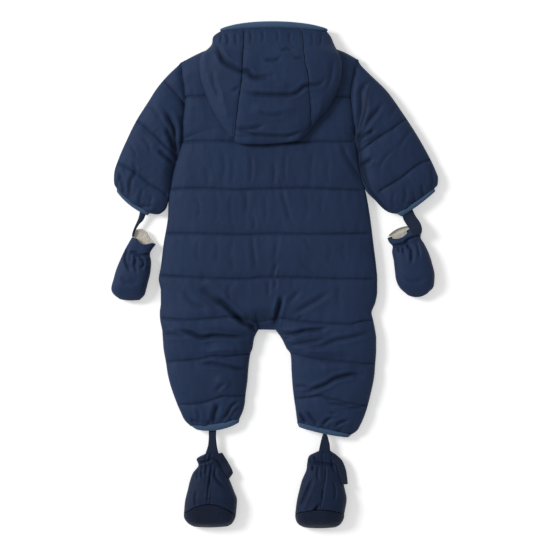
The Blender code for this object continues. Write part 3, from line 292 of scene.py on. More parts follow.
STRAPS = {
    "mitten_strap_left": table(
        Tape,
        (-211.6, 99.8, 14.6, 4.8, -2.2), (-215.2, 89.4, 13.8, 4, -1.4), (-221.4, 79.8, 12.8, 3, 0.6),
        (-226, 70.4, 12.2, 2.4, 0.9), (-228.2, 62, 12, 1.9, 0.6),
    ),
    "mitten_strap_right": table(
        Tape,
        (210.6, 103.6, 14.6, 8.4, 4.4), (215.6, 91.4, 15.6, 9, 4.2), (222.2, 80.6, 20.6, 9.6, 3.6),
        (226.2, 72, 24, 8.6, 2.8), (228, 64.6, 23, 6.4, 2),
    ),
    "bootie_strap_left": table(
        Tape,
        (-100, -244.95, 14.6, 6.2, 0.95), (-100.3, -258, 14.4, 5.9, 0.4), (-100.2, -271, 14.6, 6.8, 0),
        (-100.6, -280, 14.8, 8.8, 0.1), (-101, -288.6, 15, 11.4, 0.3),
    ),
    "bootie_strap_right": table(
        Tape,
        (79.9, -252.85, 14.6, 2.2, -0.28), (80.1, -260.8, 14.4, 5, -0.3), (80, -271, 14.6, 7.6, 0),
        (79, -284.8, 15, 9.6, 0.6),
    ),
    "bootie_tab_left": table(
        Tape,
        (-90.2, -285.4, 18.8, 5.4, 1.2), (-83.6, -298, 20, 5.6, 2.6), (-76.6, -311, 22.6, 5.8, 3.2),
        (-70.4, -322, 22.4, 3.4, 4.8),
    ),
    "bootie_tab_right": table(
        Tape,
        (91.5, -288.6, 20.6, 2.4, 4.2), (102.4, -300.4, 22.6, 4.8, 3.8), (107.5, -314.4, 22.6, 6.3, 1.6),
        (112, -334.7, 19.4, 4.8, 0.6),
    ),
}

# Sewn lines, seen from above: x and y of each point in turn
SEWN = {
    "back": (
        (-151.2, 284, -114.4, 285.6, -55.2, 285.6, 0.8, 285.6, 56.8, 285.6, 124, 284),
        (-151.2, 212.8, -111.2, 213.6, -63.2, 213.6, 0.8, 213.6, 56.8, 212.8, 104.8, 212.8, 132, 215.2),
        (-172, 136.8, -119.2, 138.4, -63.2, 136, -7.2, 137.6, 48.8, 138.4, 96.8, 136.8, 149.6, 135.2),
        (-178.4, 66.4, -119.2, 65.6, -55.2, 64, 0.8, 65.6, 56.8, 64.8, 112.8, 65.6, 159.2, 66.4),
        (-188, -0.8, -151.2, -3.2, -103.2, -5.6, -47.2, -6.4, -20, -4, 8.8, -4, 56.8, -4.8, 104.8, -6.4,
         167.2, -6.4),
        (-188, -68.8, -143.2, -72, -103.2, -69.6, -74.4, -67.2, -50.4, -69.6, -26.4, -75.2, -10.4, -72.8,
         8.8, -69.6, 37.6, -73.6, 56.8, -76, 80.8, -77.6, 104.8, -78.4, 120.8, -79.2, 136.8, -74.4, 162.4,
         -72),
        (-180, -140, -143.2, -136.8, -119.2, -134.4, -98.4, -129.6, -79.2, -130.4, -55.2, -128, -36,
         -125.6),
        (-156, -207.2, -127.2, -206.4, -111.2, -203.2, -98.4, -199.2, -80.8, -193.6, -68, -194.4, -42.4,
         -192.8),
        (21.6, -124, 40.8, -128.8, 64.8, -133.6, 88.8, -136.8, 120.8, -139.2, 136.8, -141.6, 165.6, -142.4),
        (26.4, -199.2, 56.8, -195.2, 72.8, -192.8, 85.6, -197.6, 104.8, -201.6, 124, -206.4, 152.8, -210.4),
    ),
    "sleeve_left": (
        (-183.2, 317.6, -164, 292, -146.4, 260, -141.6, 247.2),
        (-226.4, 252, -205.6, 236, -199.2, 229.6, -186.4, 218.4, -178.4, 208.8, -164, 197.6, -154.4, 186.4),
        (-256.8, 183.2, -234.4, 170.4, -223.2, 164, -210.4, 154.4, -199.2, 144.8, -188, 138.4, -173.6,
         128.8),
    ),
    "sleeve_right": (
        (212, 252, 184.8, 231.2, 168.8, 221.6, 152.8, 210.4, 133.6, 196),
        (255.2, 186.4, 232.8, 178.4, 216.8, 167.2, 200.8, 154.4, 184.8, 144.8, 168.8, 135.2),
    ),
}
# Folds, in the same way, after their depth and width; a negative depth is a ridge
FOLDED = {
    "back": (
        (7, 4.2, -92, -37.6, -81.6, -45.6, -68, -58.4, -58.4, -68, -46.4, -77.6),
        (3, 9, -119.2, -20, -101.6, -34.4, -84, -50.4), (6, 3.6, -62.4, -64.8, -44.8, -76.8, -28, -88),
        (6.4, 3.8, 10.4, -34, 7.2, -50.4, 2.4, -66.4, -0.8, -86),
        (1.8, 4.5, -146.4, -23.2, -132, -44, -109.6, -55.2),
        (2.2, 4.5, 85.6, -28, 66.4, -40.8, 44, -53.6, 31.2, -61.6),
        (1.8, 4, 37.6, -26.4, 29.6, -36, 21.6, -44), (1.5, 3, 44, -63.2, 37.6, -72.8),
        (1.6, 3.5, -39.2, 194.4, -37.6, 170.4, -39.2, 144.8),
        (1.6, 3.5, -2.4, 181.6, -0.8, 164, -2.4, 144.8), (1.6, 3.5, 16.8, 194.4, 15.2, 170.4, 16.8, 144.8),
        (1.5, 3.2, -15.8, 124, -15.2, 103.2, -15.8, 80.8), (2, 3.8, 12, 133.6, 16.8, 111.2, 24.8, 84),
        (1.4, 3, -34.4, 93.6, -32.8, 82.4, -34.4, 71.2),
        (1.6, 3.5, -47.2, 133.6, -45.6, 114.4, -47.2, 96.8),
        (1.8, 3.6, -36, 64.8, -34.4, 39.2, -29.6, 10.4), (1.6, 3.6, 2.4, 55.2, 0.8, 36, -2.4, 20),
        (3, 3, 2.4, 18.4, -0.8, 7.2, -4, -4), (1.4, 3.2, 48.8, 60, 52, 48.8, 55.2, 39.2),
        (1.5, 3, -10.9, -8.8, -10.4, -21.6, -10.9, -34.4), (1.5, 3, -0.8, -4, 0.8, -13.6, -0.8, -23.2),
        (2.6, 4.5, 104.8, 213.6, 116, 186.4, 127.2, 170.4, 141.6, 144.8),
        (1.2, 3, 40.8, 20, 55.2, 8.8, 69.6, -2.4), (1, 2.6, 69.6, 20, 82.4, 7.2, 90.4, -4),
        (1.4, 4, -84, 199.2, -80.8, 173.6, -85.6, 148), (1.2, 3.2, -68, 189.6, -66.4, 167.2, -69.6, 144.8),
        (1.4, 3.6, -112.8, 173.6, -106.4, 156, -108, 140), (1.2, 3.4, 60, 196, 56.8, 170.4, 60, 144.8),
        (1.3, 3.6, 85.6, 183.2, 82.4, 164, 87.2, 141.6), (1.2, 3.2, -95.2, 132, -92, 109.6, -95.2, 84),
        (1.2, 3, -68, 128.8, -71.2, 106.4, -68, 77.6), (1.2, 3.4, 47.2, 130.4, 52, 109.6, 48.8, 87.2),
        (1.1, 3.2, 76, 132, 72.8, 109.6, 76, 90.4), (1.2, 3.4, -125.6, 125.6, -120.8, 106.4, -124, 90.4),
        (1.3, 3.2, -96.8, 58.4, -92, 39.2, -95.2, 20), (1.2, 3.4, -68, 55.2, -71.2, 32.8, -66.4, 7.2),
        (1.1, 3.4, 82.4, 55.2, 87.2, 39.2, 84, 20), (1.3, 3, -122.4, 55.2, -125.6, 36, -120.8, 20),
        (1.2, 3.2, 111.2, 55.2, 108, 39.2, 112.8, 23.2), (1.3, 3.2, -119.2, 7.2, -114.4, -0.8, -112.8, -12),
        (1.2, 3.4, -71.2, -13.6, -74.4, -28, -71.2, -40.8),
        (1.2, 3.2, 104.8, -15.2, 100, -31.2, 103.2, -47.2),
        (5, 3.6, -156, -88.8, -144.8, -90.4, -132, -93.6, -114.4, -100, -95.2, -96.8, -63.2, -98.4, -39.2,
         -100),
        (2.2, 3.5, -178.4, -95.2, -164, -95.2, -140, -99.2),
        (2, 4, -111.2, -87.2, -71.2, -90.4, -36, -95.2),
        (3.6, 3.6, -119.2, -141.6, -95.2, -142.4, -74.4, -146.4, -55.2, -151.2, -42.4, -152),
        (1.6, 3, -93.6, -186.4, -87.2, -178.4, -79.2, -172),
        (3.6, 4.2, -98.4, -237.6, -96.8, -224.8, -90.4, -205.6),
        (2.6, 3, -84, -232.8, -74.4, -220, -68, -208.8, -56.8, -202.4),
        (1.8, 2.6, -106.4, -232.8, -104.8, -239.2), (2.2, 2.8, -135.2, -231.2, -119.2, -236),
        (1.4, 2.6, -125.6, -213.6, -120.8, -224.8, -122.4, -234.4),
        (1.5, 2.8, -71.2, -229.6, -64.8, -218.4, -55.2, -212),
        (4.2, 3.4, 8.8, -95.2, 32.8, -93.6, 48.8, -88.8, 72.8, -87.2, 84, -84),
        (2.4, 3.6, 24.8, -112.8, 48.8, -108, 80.8, -103.2),
        (2.6, 3.8, 56.8, -114.4, 76, -112.8, 96.8, -104.8, 120.8, -100, 152.8, -92),
        (2, 3, 13.6, -101.6, 28, -100),
        (4, 3.6, 48.8, -188, 64.8, -181.6, 80.8, -175.2, 96.8, -165.6, 112.8, -161.6, 124, -159.2, 140,
         -162.4),
        (1.8, 3, 32.8, -178.4, 45.6, -178.4, 53.6, -181.6),
        (2.6, 2.6, 85.6, -205.6, 112.8, -207.2, 122.4, -205.6),
        (2.4, 2.6, 112.8, -212, 128.8, -212.8, 141.6, -210.4),
        (3, 2.8, 39.2, -220, 45.6, -229.6, 50.4, -237.6), (2.6, 2.8, 52, -218.4, 60, -228, 68, -239.2),
        (2.6, 2.8, 76, -239.2, 85.6, -231.2, 92, -228.8),
        (2.6, 2.8, 96.8, -242.4, 104.8, -236, 117.6, -232.8), (1.8, 2.6, 87.2, -220, 96.8, -221.6),
        (-2.2, 8, -109.6, -124, -84, -119.2, -58.4, -120.8),
        (-2, 8, 40.8, -120.8, 72.8, -122.4, 112.8, -119.2), (-2.4, 8, -95.2, -165.6, -71.2, -175.2),
        (-2.2, 8, 72.8, -149.6, 101.6, -146.4, 124, -146.4),
    ),
    "sleeve_left": (
        (6.4, 4, -175.2, 263.2, -167.2, 247.2, -160.8, 231.2, -159.2, 207.2, -156, 191.2),
        (5.2, 3.6, -173.6, 236, -167.2, 220, -164, 207.2, -160.8, 199.2),
        (5.2, 3.6, -186.4, 200.8, -178.4, 192.8, -167.2, 183.2, -160.8, 176.8),
        (4.2, 8, -172, 238, -162, 212, -158.4, 190, -162, 170, -168, 142),
        (2.6, 3.2, -224.8, 178.4, -223.2, 164, -229.6, 151.2, -232.8, 127.2),
        (2.4, 3, -250.4, 167.2, -244, 146.4, -240, 125.6),
        (2, 2.8, -223.2, 109.6, -207.2, 109.6, -191.2, 109.6),
        (1.8, 3.6, -140, 340, -130.4, 327.2, -119.2, 314.4),
        (1.4, 4, -199.2, 272.8, -189.6, 260, -183.2, 247.2),
        (1.3, 3.2, -212, 221.6, -202.4, 208.8, -199.2, 196),
        (1.2, 3, -234.4, 212, -224.8, 199.2, -221.6, 186.4),
        (1.8, 3, -210.4, 138.4, -215.2, 124, -216.8, 111.2),
        (1.6, 2.8, -196, 128.8, -199.2, 116, -200.8, 106.4),
        (1.4, 2.8, -247.2, 157.6, -252, 144.8, -253.6, 133.6),
    ),
    "sleeve_right": (
        (4.8, 8, 142, 248, 134.4, 222, 133.6, 204, 136, 184, 142, 164, 150, 142),
        (6, 4, 160.8, 311.2, 152.8, 303.2, 148, 292, 146.4, 279.2, 143.2, 260, 138.4, 244, 132, 223.2),
        (4.2, 4, 172, 272.8, 160.8, 258.4, 149.6, 245.6, 141.6, 231.2, 132, 218.4),
        (5.8, 3.6, 159.2, 231.2, 149.6, 226.4, 136.8, 220, 130.4, 212),
        (5.8, 3.8, 156, 184.8, 143.2, 178.4, 138.4, 167.2),
        (5, 3.2, 138.4, 173.6, 143.2, 154.4, 152.8, 135.2, 160.8, 124, 176.8, 106.4, 188, 96.8),
        (2.4, 3, 248.8, 173.6, 252, 151.2, 250.4, 135.2), (2.2, 2.8, 234.4, 146.4, 236, 135.2, 237.6, 124),
        (1.8, 2.6, 212, 116, 220, 112.8), (1.4, 3.6, 197.6, 279.2, 189.6, 263.2, 181.6, 250.4),
        (1.4, 3.2, 220, 234.4, 207.2, 218.4, 197.6, 202.4),
        (1.3, 3.2, 188, 199.2, 175.2, 186.4, 167.2, 170.4),
        (1.8, 3, 207.2, 141.6, 208.8, 125.6, 204, 109.6), (1.6, 2.8, 189.6, 132, 188, 119.2, 191.2, 106.4),
        (1.5, 3, 221.6, 135.2, 223.2, 122.4, 220, 111.2),
    ),
    "hood": (
        (4.8, 4.2, -98.4, 373.6, -90.4, 359.2, -79.2, 338.4, -63.2, 328.8, -52, 323, -43, 322.4, -32.8,
         313.6, -19.2, 312, -4, 314.4),
        (2.6, 3.2, -15.2, 341.6, -2.4, 340, 10.4, 343.2), (2.2, 3, 10.4, 356, 20, 358.1, 28, 356),
        (2, 3, 30.4, 344.8, 45.6, 343.2), (2.2, 3.2, -66.4, 292, -56.8, 296.8),
        (3.6, 3.4, -52, 293.6, -40.8, 288, -24.8, 285.6, 0.8, 284.6, 21.6, 284.6, 36, 288.8, 45.6, 297.4,
         53.6, 300, 69.6, 301.6, 76, 306.4, 81.6, 314.4),
        (2.6, 3.6, -61.6, 231.2, -46.4, 231.2, -17.4, 236),
        (3.6, 2.8, -58.4, 229.6, -29.6, 222.4, -5.6, 220.6, 15.2, 220, 28, 222.4, 45.6, 228),
        (1.8, 2.4, -87.2, 386.4, -85.6, 378.4, -88.8, 368.8),
        (1.8, 2.4, -77.6, 384.8, -74.4, 375.2, -76, 365.6),
        (1.6, 2.4, -63.2, 384.8, -61.6, 375.2, -61.6, 365.6),
        (1.6, 2.4, 72.8, 384.8, 74.4, 373.6, 71.2, 364), (1.6, 2.4, 58.4, 384.8, 60, 373.6, 58.4, 362.4),
        (1.4, 2.4, 24.8, 386.4, 23.2, 376.8, 24.8, 368.8), (1.3, 2.4, -20, 389.6, -18.4, 380, -20, 370.4),
        (1.3, 2.4, -39.2, 388, -37.6, 378.4, -39.2, 368.8), (1.3, 2.4, 4, 388, 5.6, 378.4, 2.4, 370.4),
        (-2, 5, -109.6, 356, -112.8, 340, -112.8, 317.6), (-2.4, 10, -36, 301.6, -7.2, 298.4, 24.8, 300),
        (-2.6, 10, -39.2, 266.4, -4, 260, 34.4, 266.4), (-1.8, 8, -84, 295.2, -80.8, 269.6, -72.8, 247.2),
        (-1.8, 8, 76, 285.6, 72.8, 266.4, 66.4, 250.4), (1.6, 4, -100, 327.2, -96.8, 301.6, -87.2, 279.2),
        (1.6, 4, 92, 343.2, 90.4, 320.8, 82.4, 295.2), (1.5, 3.6, -26.4, 260, -7.2, 252, 15.2, 253.6),
    ),
    "mitten_left": (
        (2.4, 2.2, -234.4, 36, -224.8, 36, -216.8, 31.2, -207.2, 32, -194.4, 36),
        (2.4, 2.6, -236, 45.6, -239.2, 26.4, -231.2, 7.2),
        (2.4, 2.6, -216.8, 29.6, -210.4, 23.2, -208.8, 18.4, -213.6, 10.4),
        (-1.6, 2.4, -227.2, 32.8, -227.2, 16.8), (1.5, 2.2, -221.6, 28, -223.2, 16.8, -220, 4),
        (1.4, 2.2, -202.4, 28, -204, 16.8, -202.4, 7.2), (1.2, 5, -247.2, -2.4, -234.4, -12, -218.4, -12),
    ),
    "mitten_right": (
        (2.6, 2.4, 181.6, 53.6, 188, 46.4, 194.4, 47.2, 200.8, 48, 207.2, 50.4, 212, 56.8, 220, 60, 231.2,
         65.6),
        (2.6, 2.8, 211.2, 55.2, 213.6, 45.6, 218.4, 39.2, 218.4, 18.4), (1.8, 2, 197.6, 45.6, 198.4, 36),
        (1.8, 2, 204.8, 44, 205.6, 34.4), (1.5, 2.2, 226.4, 53.6, 229.6, 40.8, 231.2, 26.4),
        (1.2, 5, 204, -2.4, 220, -10.4, 239.2, -7.2),
    ),
    "bootie_left": (
        (2.4, 2.4, -124, -303.2, -120.8, -301.6, -109.6, -298.4, -100, -293.6, -93.6, -296.8, -87.2, -304.8,
         -79.2, -316),
        (1.8, 1.6, -100, -301.6, -103.2, -320.8, -105.6, -336.8, -107.2, -352.8, -108, -365.6),
        (2.2, 2.6, -95.2, -308, -96, -317.6, -90.4, -328.8, -80.8, -338.4, -77.6, -343.2),
        (1.6, 2, -116, -303.2, -117.6, -312.8, -116, -322.4),
        (1.6, 2, -109.6, -301.6, -109.6, -311.2, -111.2, -319.2),
        (1.4, 2, -120.8, -306.4, -124, -317.6, -124, -327.2),
        (1.4, 2.2, -125.6, -344.8, -127.2, -357.6, -125.6, -368.8), (1.6, 1.8, -103.2, -284, -103.2, -292),
        (1.4, 1.8, -109.6, -287.2, -111.2, -295.2),
    ),
    "bootie_right": (
        (2, 2, 55.2, -293.6, 58.4, -300),
        (2.4, 2.2, 53.6, -301.6, 61.6, -301.6, 72.8, -301.6, 85.6, -303.2, 98.4, -306.4),
        (2, 2.2, 61.6, -288.8, 66.4, -296.8, 72.8, -300), (2.2, 2.2, 60.8, -304.8, 60.8, -312.8),
        (1.8, 2.2, 90.4, -293.6, 92, -304.8, 96.8, -317.6),
        (1.8, 1.6, 81.6, -303.2, 80.8, -320.8, 78.4, -336.8, 76, -352.8, 76, -364),
        (2.4, 3, 60, -327.2, 52, -344.8, 45.6, -359.2, 39.2, -373.6),
        (3.4, 2.6, 39.2, -375.2, 47.2, -386.4, 52, -388, 60, -380, 66.4, -372, 72.8, -365.6),
        (1.4, 2.2, 93.6, -328.8, 96.8, -344.8, 95.2, -360.8),
        (1.4, 2, 69.6, -306.4, 68, -317.6, 69.6, -327.2),
    ),
}


def points_of(numbers):
    return list(zip(numbers[::2], numbers[1::2]))


QUILTS = {piece: [points_of(line) for line in lines] for piece, lines in SEWN.items()}
FOLDS = {
    piece: [Fold(depth, reach, points_of(line)) for depth, reach, *line in folds]
    for piece, folds in FOLDED.items()
}


# ---------------------------------------------------------------- numbers


def mix(first, second, share):
    return first + (second - first) * share


def smooth(share):
    share = np.clip(share, 0.0, 1.0)
    return share * share * (3.0 - 2.0 * share)


def crown(across, power=CROWN):
    """Height of a padded section at a place across it: 0 at either side (-1 and 1), and 1 in the middle."""
    return np.sqrt(np.maximum(0.0, 1.0 - np.abs(across) ** power))


def places(count):
    """Places across a section from -1 to 1, closer together where the sides turn down."""
    even = np.linspace(-1.0, 1.0, count)
    return mix(even, np.sin(even * math.pi / 2.0), 0.55)


def curve(xs, ys, at):
    """A smooth curve through points, read at many places, with no bump that the points don't have."""
    xs, ys = np.asarray(xs, float), np.asarray(ys, float)
    if xs[0] > xs[-1]:
        xs, ys = xs[::-1], ys[::-1]
    step = np.diff(xs)
    rise = np.diff(ys) / step
    slope = np.concatenate(([rise[0]], (rise[:-1] + rise[1:]) / 2.0, [rise[-1]]))
    slope[1:-1][rise[:-1] * rise[1:] <= 0.0] = 0.0
    most = 2.5 * np.minimum(np.abs(rise[:-1]), np.abs(rise[1:]))
    slope[1:-1] = np.sign(slope[1:-1]) * np.minimum(np.abs(slope[1:-1]), most)
    at = np.clip(at, xs[0], xs[-1])
    i = np.clip(np.searchsorted(xs, at, side="right") - 1, 0, len(step) - 1)
    t = (at - xs[i]) / step[i]
    after, before = ys[i] + slope[i] * step[i] / 3.0, ys[i + 1] - slope[i + 1] * step[i] / 3.0
    u = 1.0 - t
    return ys[i] * u**3 + 3.0 * after * u * u * t + 3.0 * before * u * t * t + ys[i + 1] * t**3


def column(rows, key):
    return np.array([getattr(row, key) for row in rows], float)


def read(rows, at, key, value):
    """A column of a table, read between its rows."""
    return curve(column(rows, key), column(rows, value), at)


def on_path(path, count):
    """A path's columns, read at so many places from its first row to its last."""
    at = np.linspace(0.0, len(path) - 1.0, count)
    return [curve(np.arange(len(path)), values, at)[:, None] for values in np.array(path, float).T]


def lengths(line):
    """The length along a line at each of its points."""
    return np.concatenate(([0.0], np.cumsum(np.hypot(*np.diff(line, axis=0).T))))


def hashed(x, y, seed):
    number = (x.astype(np.int64) * 374761393 + y.astype(np.int64) * 668265263 + seed * 974634777) & 0x7FFFFFFF
    number = ((number ^ (number >> 13)) * 1274126177) & 0x7FFFFFFF
    return ((number ^ (number >> 16)) & 0xFFFF) / 32767.5 - 1.0


def noise(x, y, size, seed):
    """Smooth uneven values from -1 to 1, whose bumps are about size mm wide."""
    x, y = np.broadcast_arrays(np.asarray(x, float), np.asarray(y, float))
    x, y = (0.86 * x - 0.5 * y) / size + 512.0, (0.5 * x + 0.86 * y) / size + 512.0
    ix, iy = np.floor(x), np.floor(y)
    fx, fy = smooth(x - ix), smooth(y - iy)
    low = mix(hashed(ix, iy, seed), hashed(ix + 1, iy, seed), fx)
    high = mix(hashed(ix, iy + 1, seed), hashed(ix + 1, iy + 1, seed), fx)
    return mix(low, high, fy)


# ---------------------------------------------------------------- relief


def rounded(line):
    """A line of points with its corners rounded."""
    return np.hstack(on_path(line, (len(line) - 1) * 5 + 1))


def to_line(x, y, line):
    """Distance to a line, the length along it at the nearest point, its whole length, and the side of it."""
    nearest, along, side = np.full(x.shape, 1e9), np.zeros(x.shape), np.zeros(x.shape)
    start = 0.0
    for (x0, y0), (x1, y1) in zip(line, line[1:]):
        dx, dy = x1 - x0, y1 - y0
        length = max(math.hypot(dx, dy), 1e-6)
        share = np.clip(((x - x0) * dx + (y - y0) * dy) / length**2, 0.0, 1.0)
        far = np.hypot(x - x0 - dx * share, y - y0 - dy * share)
        near = far < nearest
        nearest = np.where(near, far, nearest)
        along = np.where(near, start + share * length, along)
        side = np.where(near, np.sign(dx * (y - y0) - dy * (x - x0)), side)
        start += length
    return nearest, along, start, side


def folded(x, y, folds, strength=1.0):
    """How far the folds draw a surface down: a crease in a soft trough, with a low swell on both sides."""
    drop = np.zeros(x.shape)
    for fold in folds:
        far, along, length, _ = to_line(x, y, rounded(fold.points))
        ends = smooth(np.minimum(along, length - along) / (0.3 * length) + 0.25)
        reach = far / fold.width
        crease = 0.55 * np.exp(-reach * 1.9) + 0.6 * np.exp(-(reach**2))
        drop += fold.depth * strength * ends * (crease - 0.28 * np.exp(-(((reach - 1.9) / 0.8) ** 2)))
    return drop


def quilted(x, y, lines, settings, seed):
    """How far sewn lines draw a surface down, with a groove at the thread and puckers across it."""
    drop = np.zeros(x.shape)
    for number, line in enumerate(lines):
        far, along, _, side = to_line(x, y, rounded(line))
        uneven = 1.0 + 0.22 * noise(along, 60.0 * number, 38.0, seed)
        drop += settings.channel_depth * uneven * np.exp(-far / settings.channel_reach)
        drop += settings.stitch_depth * np.exp(-((far / 1.5) ** 2))
        away = 47.0 * number + 19.0 * side + 0.25 * far
        pucker = noise(along, away, 8.5, seed + 1) + 0.7 * noise(along, away, 4.2, seed + 2)
        drop += settings.pucker * pucker * (1.0 - np.exp(-far / 1.6)) * np.exp(-far / settings.pucker_reach)
    return drop


def painted_crease_shade(x, y, lines, folds):
    """Painted shade: how deep in a crease or at a sewn line each place is, from 0 to 1; the cloth's colour is
    painted darker there.
    """
    dark = np.zeros(x.shape)
    sewn = [Fold(SEWN_PAINTED_SHADE, SEWN_WIDTH, line) for line in lines]
    for fold in (*sewn, *(fold for fold in folds if fold.depth > 0.0)):
        line = rounded(fold.points)
        low, high = line.min(axis=0) - 3.0 * fold.width, line.max(axis=0) + 3.0 * fold.width
        near = (x > low[0]) & (x < high[0]) & (y > low[1]) & (y < high[1])
        far, along, whole, _ = to_line(x[near], y[near], line)
        fade = 1.0 if fold.width == SEWN_WIDTH else 0.1
        ends = smooth(np.minimum(along, whole - along) / (0.3 * whole) + fade)
        deep = min(1.0, fold.depth / CREASE_FULL) * ends * np.exp(-((far / (CREASE_SHARE * fold.width)) ** 2))
        dark[near] = np.maximum(dark[near], deep)
    return dark


def crumpled(x, y, settings, seed):
    """Uneven padding and small wrinkles that run down the body."""
    lumps = settings.lumps * (noise(x, y, 44.0, seed + 3) + 0.6 * noise(x, y, 21.0, seed + 4))
    small = noise(x, 0.42 * y, 9.0, seed + 5) + 0.6 * noise(x + 0.3 * y, 0.5 * y, 5.0, seed + 6)
    return lumps + settings.wrinkles * small


def gathered(run, end, settings, seed):
    """How far an elastic edge's gathers draw a surface down, at a distance from that edge."""
    wave = noise(run, 0.12 * end, 11.0, seed + 7) + 0.45 * noise(run, 0.2 * end, 5.0, seed + 8)
    return settings.gathers * (wave + 0.35) * np.exp(-end / settings.gather_reach)


# ---------------------------------------------------------------- meshes


def net(rows, columns, ring=False, start=0):
    """The faces of a grid of points, row by row, closed round each row where it is a ring."""
    row, place = np.meshgrid(np.arange(rows - 1), np.arange(columns if ring else columns - 1), indexing="ij")
    after = (place + 1) % columns
    near, far = start + row * columns, start + (row + 1) * columns
    return np.stack([near + place, near + after, far + after, far + place], axis=-1).reshape(-1, 4)


def bridge(first, second):
    """The faces between two rows of points."""
    return np.stack([first[:-1], first[1:], second[1:], second[:-1]], axis=-1)


def stacked(*values):
    return np.stack(np.broadcast_arrays(*values), axis=-1)


def volume(points, faces):
    a, b, c, d = (points[faces[:, i]] for i in range(4))
    return float((np.cross(a, b) * c).sum() + (np.cross(a, c) * d).sum())


def placed(name, data):
    """A new object in the scene."""
    made = bpy.data.objects.new(name, data)
    bpy.context.scene.collection.objects.link(made)
    return made


def put(node, points, faces, finish, fill=None, slot="navy_shell", uv=None, creases=None):
    """Makes points in mm into the piece that stands for a node. Its fill is not used."""
    if volume(points, faces) < 0.0:
        faces = faces[:, ::-1]
    used = np.zeros(len(points), bool)
    used[faces.ravel()] = True
    number = np.cumsum(used) - 1
    name = f"snowsuit_{node}"
    data = bpy.data.meshes.new(name)
    polygons = [list(dict.fromkeys(face)) for face in number[faces].tolist()]
    data.from_pydata((points[used] * MM).tolist(), [], polygons)
    data.update()
    if uv is not None:
        layer = data.uv_layers.new(name="cloth")
        corners = np.zeros(len(data.loops), int)
        data.loops.foreach_get("vertex_index", corners)
        layer.data.foreach_set("uv", (uv[used] * MM)[corners].ravel())
    if creases is not None:
        normals = np.zeros(3 * len(data.vertices))
        data.vertices.foreach_get("normal", normals)
        # painted shade of creases and sewn lines, kept off cloth that stands upright
        dark = painted_crease_shade(points[used, 0], points[used, 1], *creases) * smooth(3.0 * normals[2::3])
        data.attributes.new("crease", "FLOAT", "POINT").data.foreach_set("value", dark)
    data.shade_smooth()
    data.materials.append(finish)
    piece = placed(name, data)
    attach(piece, "suit")
    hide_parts(node)
    return piece


def cloth_wall(node, outer, inner, faces, finish, uv=None, **more):
    """A piece with a wall: the same faces over its outer and inner points, and a face along each cut edge."""
    outer, inner = outer.reshape(-1, 3), inner.reshape(-1, 3)
    count = len(outer)
    edges = np.concatenate([faces[:, [i, (i + 1) % 4]] for i in range(4)])
    edges = edges[edges[:, 0] != edges[:, 1]]
    cut = edges[~np.isin(edges[:, 0] * count + edges[:, 1], edges[:, 1] * count + edges[:, 0])]
    rim = np.stack([cut[:, 1], cut[:, 0], cut[:, 0] + count, cut[:, 1] + count], axis=-1)
    faces = np.concatenate([faces, faces[:, ::-1] + count, rim])
    uv = None if uv is None else np.concatenate([uv, uv]).reshape(-1, 2)
    return put(node, np.concatenate([outer, inner]), faces, finish, uv=uv, **more)


def dense(rows, step):
    """A table's rows, read every step mm along the piece, and the length along it."""
    along = lengths([((row.ax + row.bx) / 2.0, (row.ay + row.by) / 2.0) for row in rows])
    at = np.linspace(0.0, along[-1], int(along[-1] / step) + 2)
    return Row(*(curve(along, column(rows, key), at)[:, None] for key in Row._fields)), at[:, None]


def part(row, chosen):
    """Some of a table's dense rows."""
    return type(row)(*(values[chosen] for values in row))


def width(row):
    return np.hypot(row.bx - row.ax, row.by - row.ay)


def over(row, across, inset=0.0):
    """Places at shares across a row, from -1 at a to 1 at b, drawn in from both ends by inset."""
    length = width(row)
    share = 0.5 + 0.5 * across * (1.0 - 2.0 * inset / length)
    turn = row.bow * (1.0 - across * across) / length
    x = mix(row.ax, row.bx, share) + (row.by - row.ay) * turn
    return x, mix(row.ay, row.by, share) - (row.bx - row.ax) * turn


def rings(row, across, top):
    """Outer and inner rings of a flattened tube with a flat underside, from the heights of its top."""
    below = across[-2:0:-1]
    low_x, low_y = over(row, below)
    low = SEAM * (1.0 - crown(below, FLOOR_TURN)) + 0.0 * low_x
    low[low < FLAT] = 0.0
    outer = [stacked(*over(row, across), top), stacked(low_x, low_y, low)]
    roof = np.minimum(SLIT_HIGH, top - LEAST_WALL)
    roof = np.where(np.abs(across) == 1.0, (SLIT_LOW + SLIT_HIGH) / 2.0, roof)
    inner = [stacked(*over(row, across, WALL), roof), stacked(*over(row, below, WALL), SLIT_LOW)]
    return np.concatenate(outer, axis=1), np.concatenate(inner, axis=1)


def tube_drawn(row, height, z, drop):
    """Heights of a tube's top drawn down, but never to the inside of the cloth."""
    lowest = np.minimum(SLIT_HIGH + 1.0, SEAM + 0.35 * row.crest * height)
    return np.maximum(z - drop * smooth(1.8 * height), lowest)


def round_tube(row, across, settings, seed, lines=(), folds=(), end=None, strength=1.0):
    """Outer and inner rings of a flattened padded tube, its top drawn down by seams and folds."""
    x, y = over(row, across)
    height = crown(across) + 0.0 * x
    drop = quilted(x, y, lines, settings, seed) + folded(x, y, folds, strength)
    drop -= crumpled(x, y, settings, seed)
    if end is not None:
        drop += gathered(across * width(row) / 2.0, end, settings, seed)
    return rings(row, across, tube_drawn(row, height, SEAM + row.crest * height, drop))


# ---------------------------------------------------------------- the body


def crotch_line():
    """Points across the crotch, over both legs and the edge between them, and each one's share of its leg."""
    legs, left, right = places(LEG_COLUMNS), LEG_LEFT[0], LEG_RIGHT[0]
    share, step = (legs + 1.0) / 2.0, np.linspace(0.0, 1.0, CROTCH_COLUMNS + 2)[1:-1]
    x = [mix(left.ax, left.bx, share), mix(left.bx, right.ax, step), mix(right.ax, right.bx, share)]
    y = [mix(left.ay, left.by, share), mix(left.by, right.ay, step), mix(right.ay, right.by, share)]
    return np.concatenate(x), np.concatenate(y), np.concatenate([legs, np.ones(CROTCH_COLUMNS), legs])


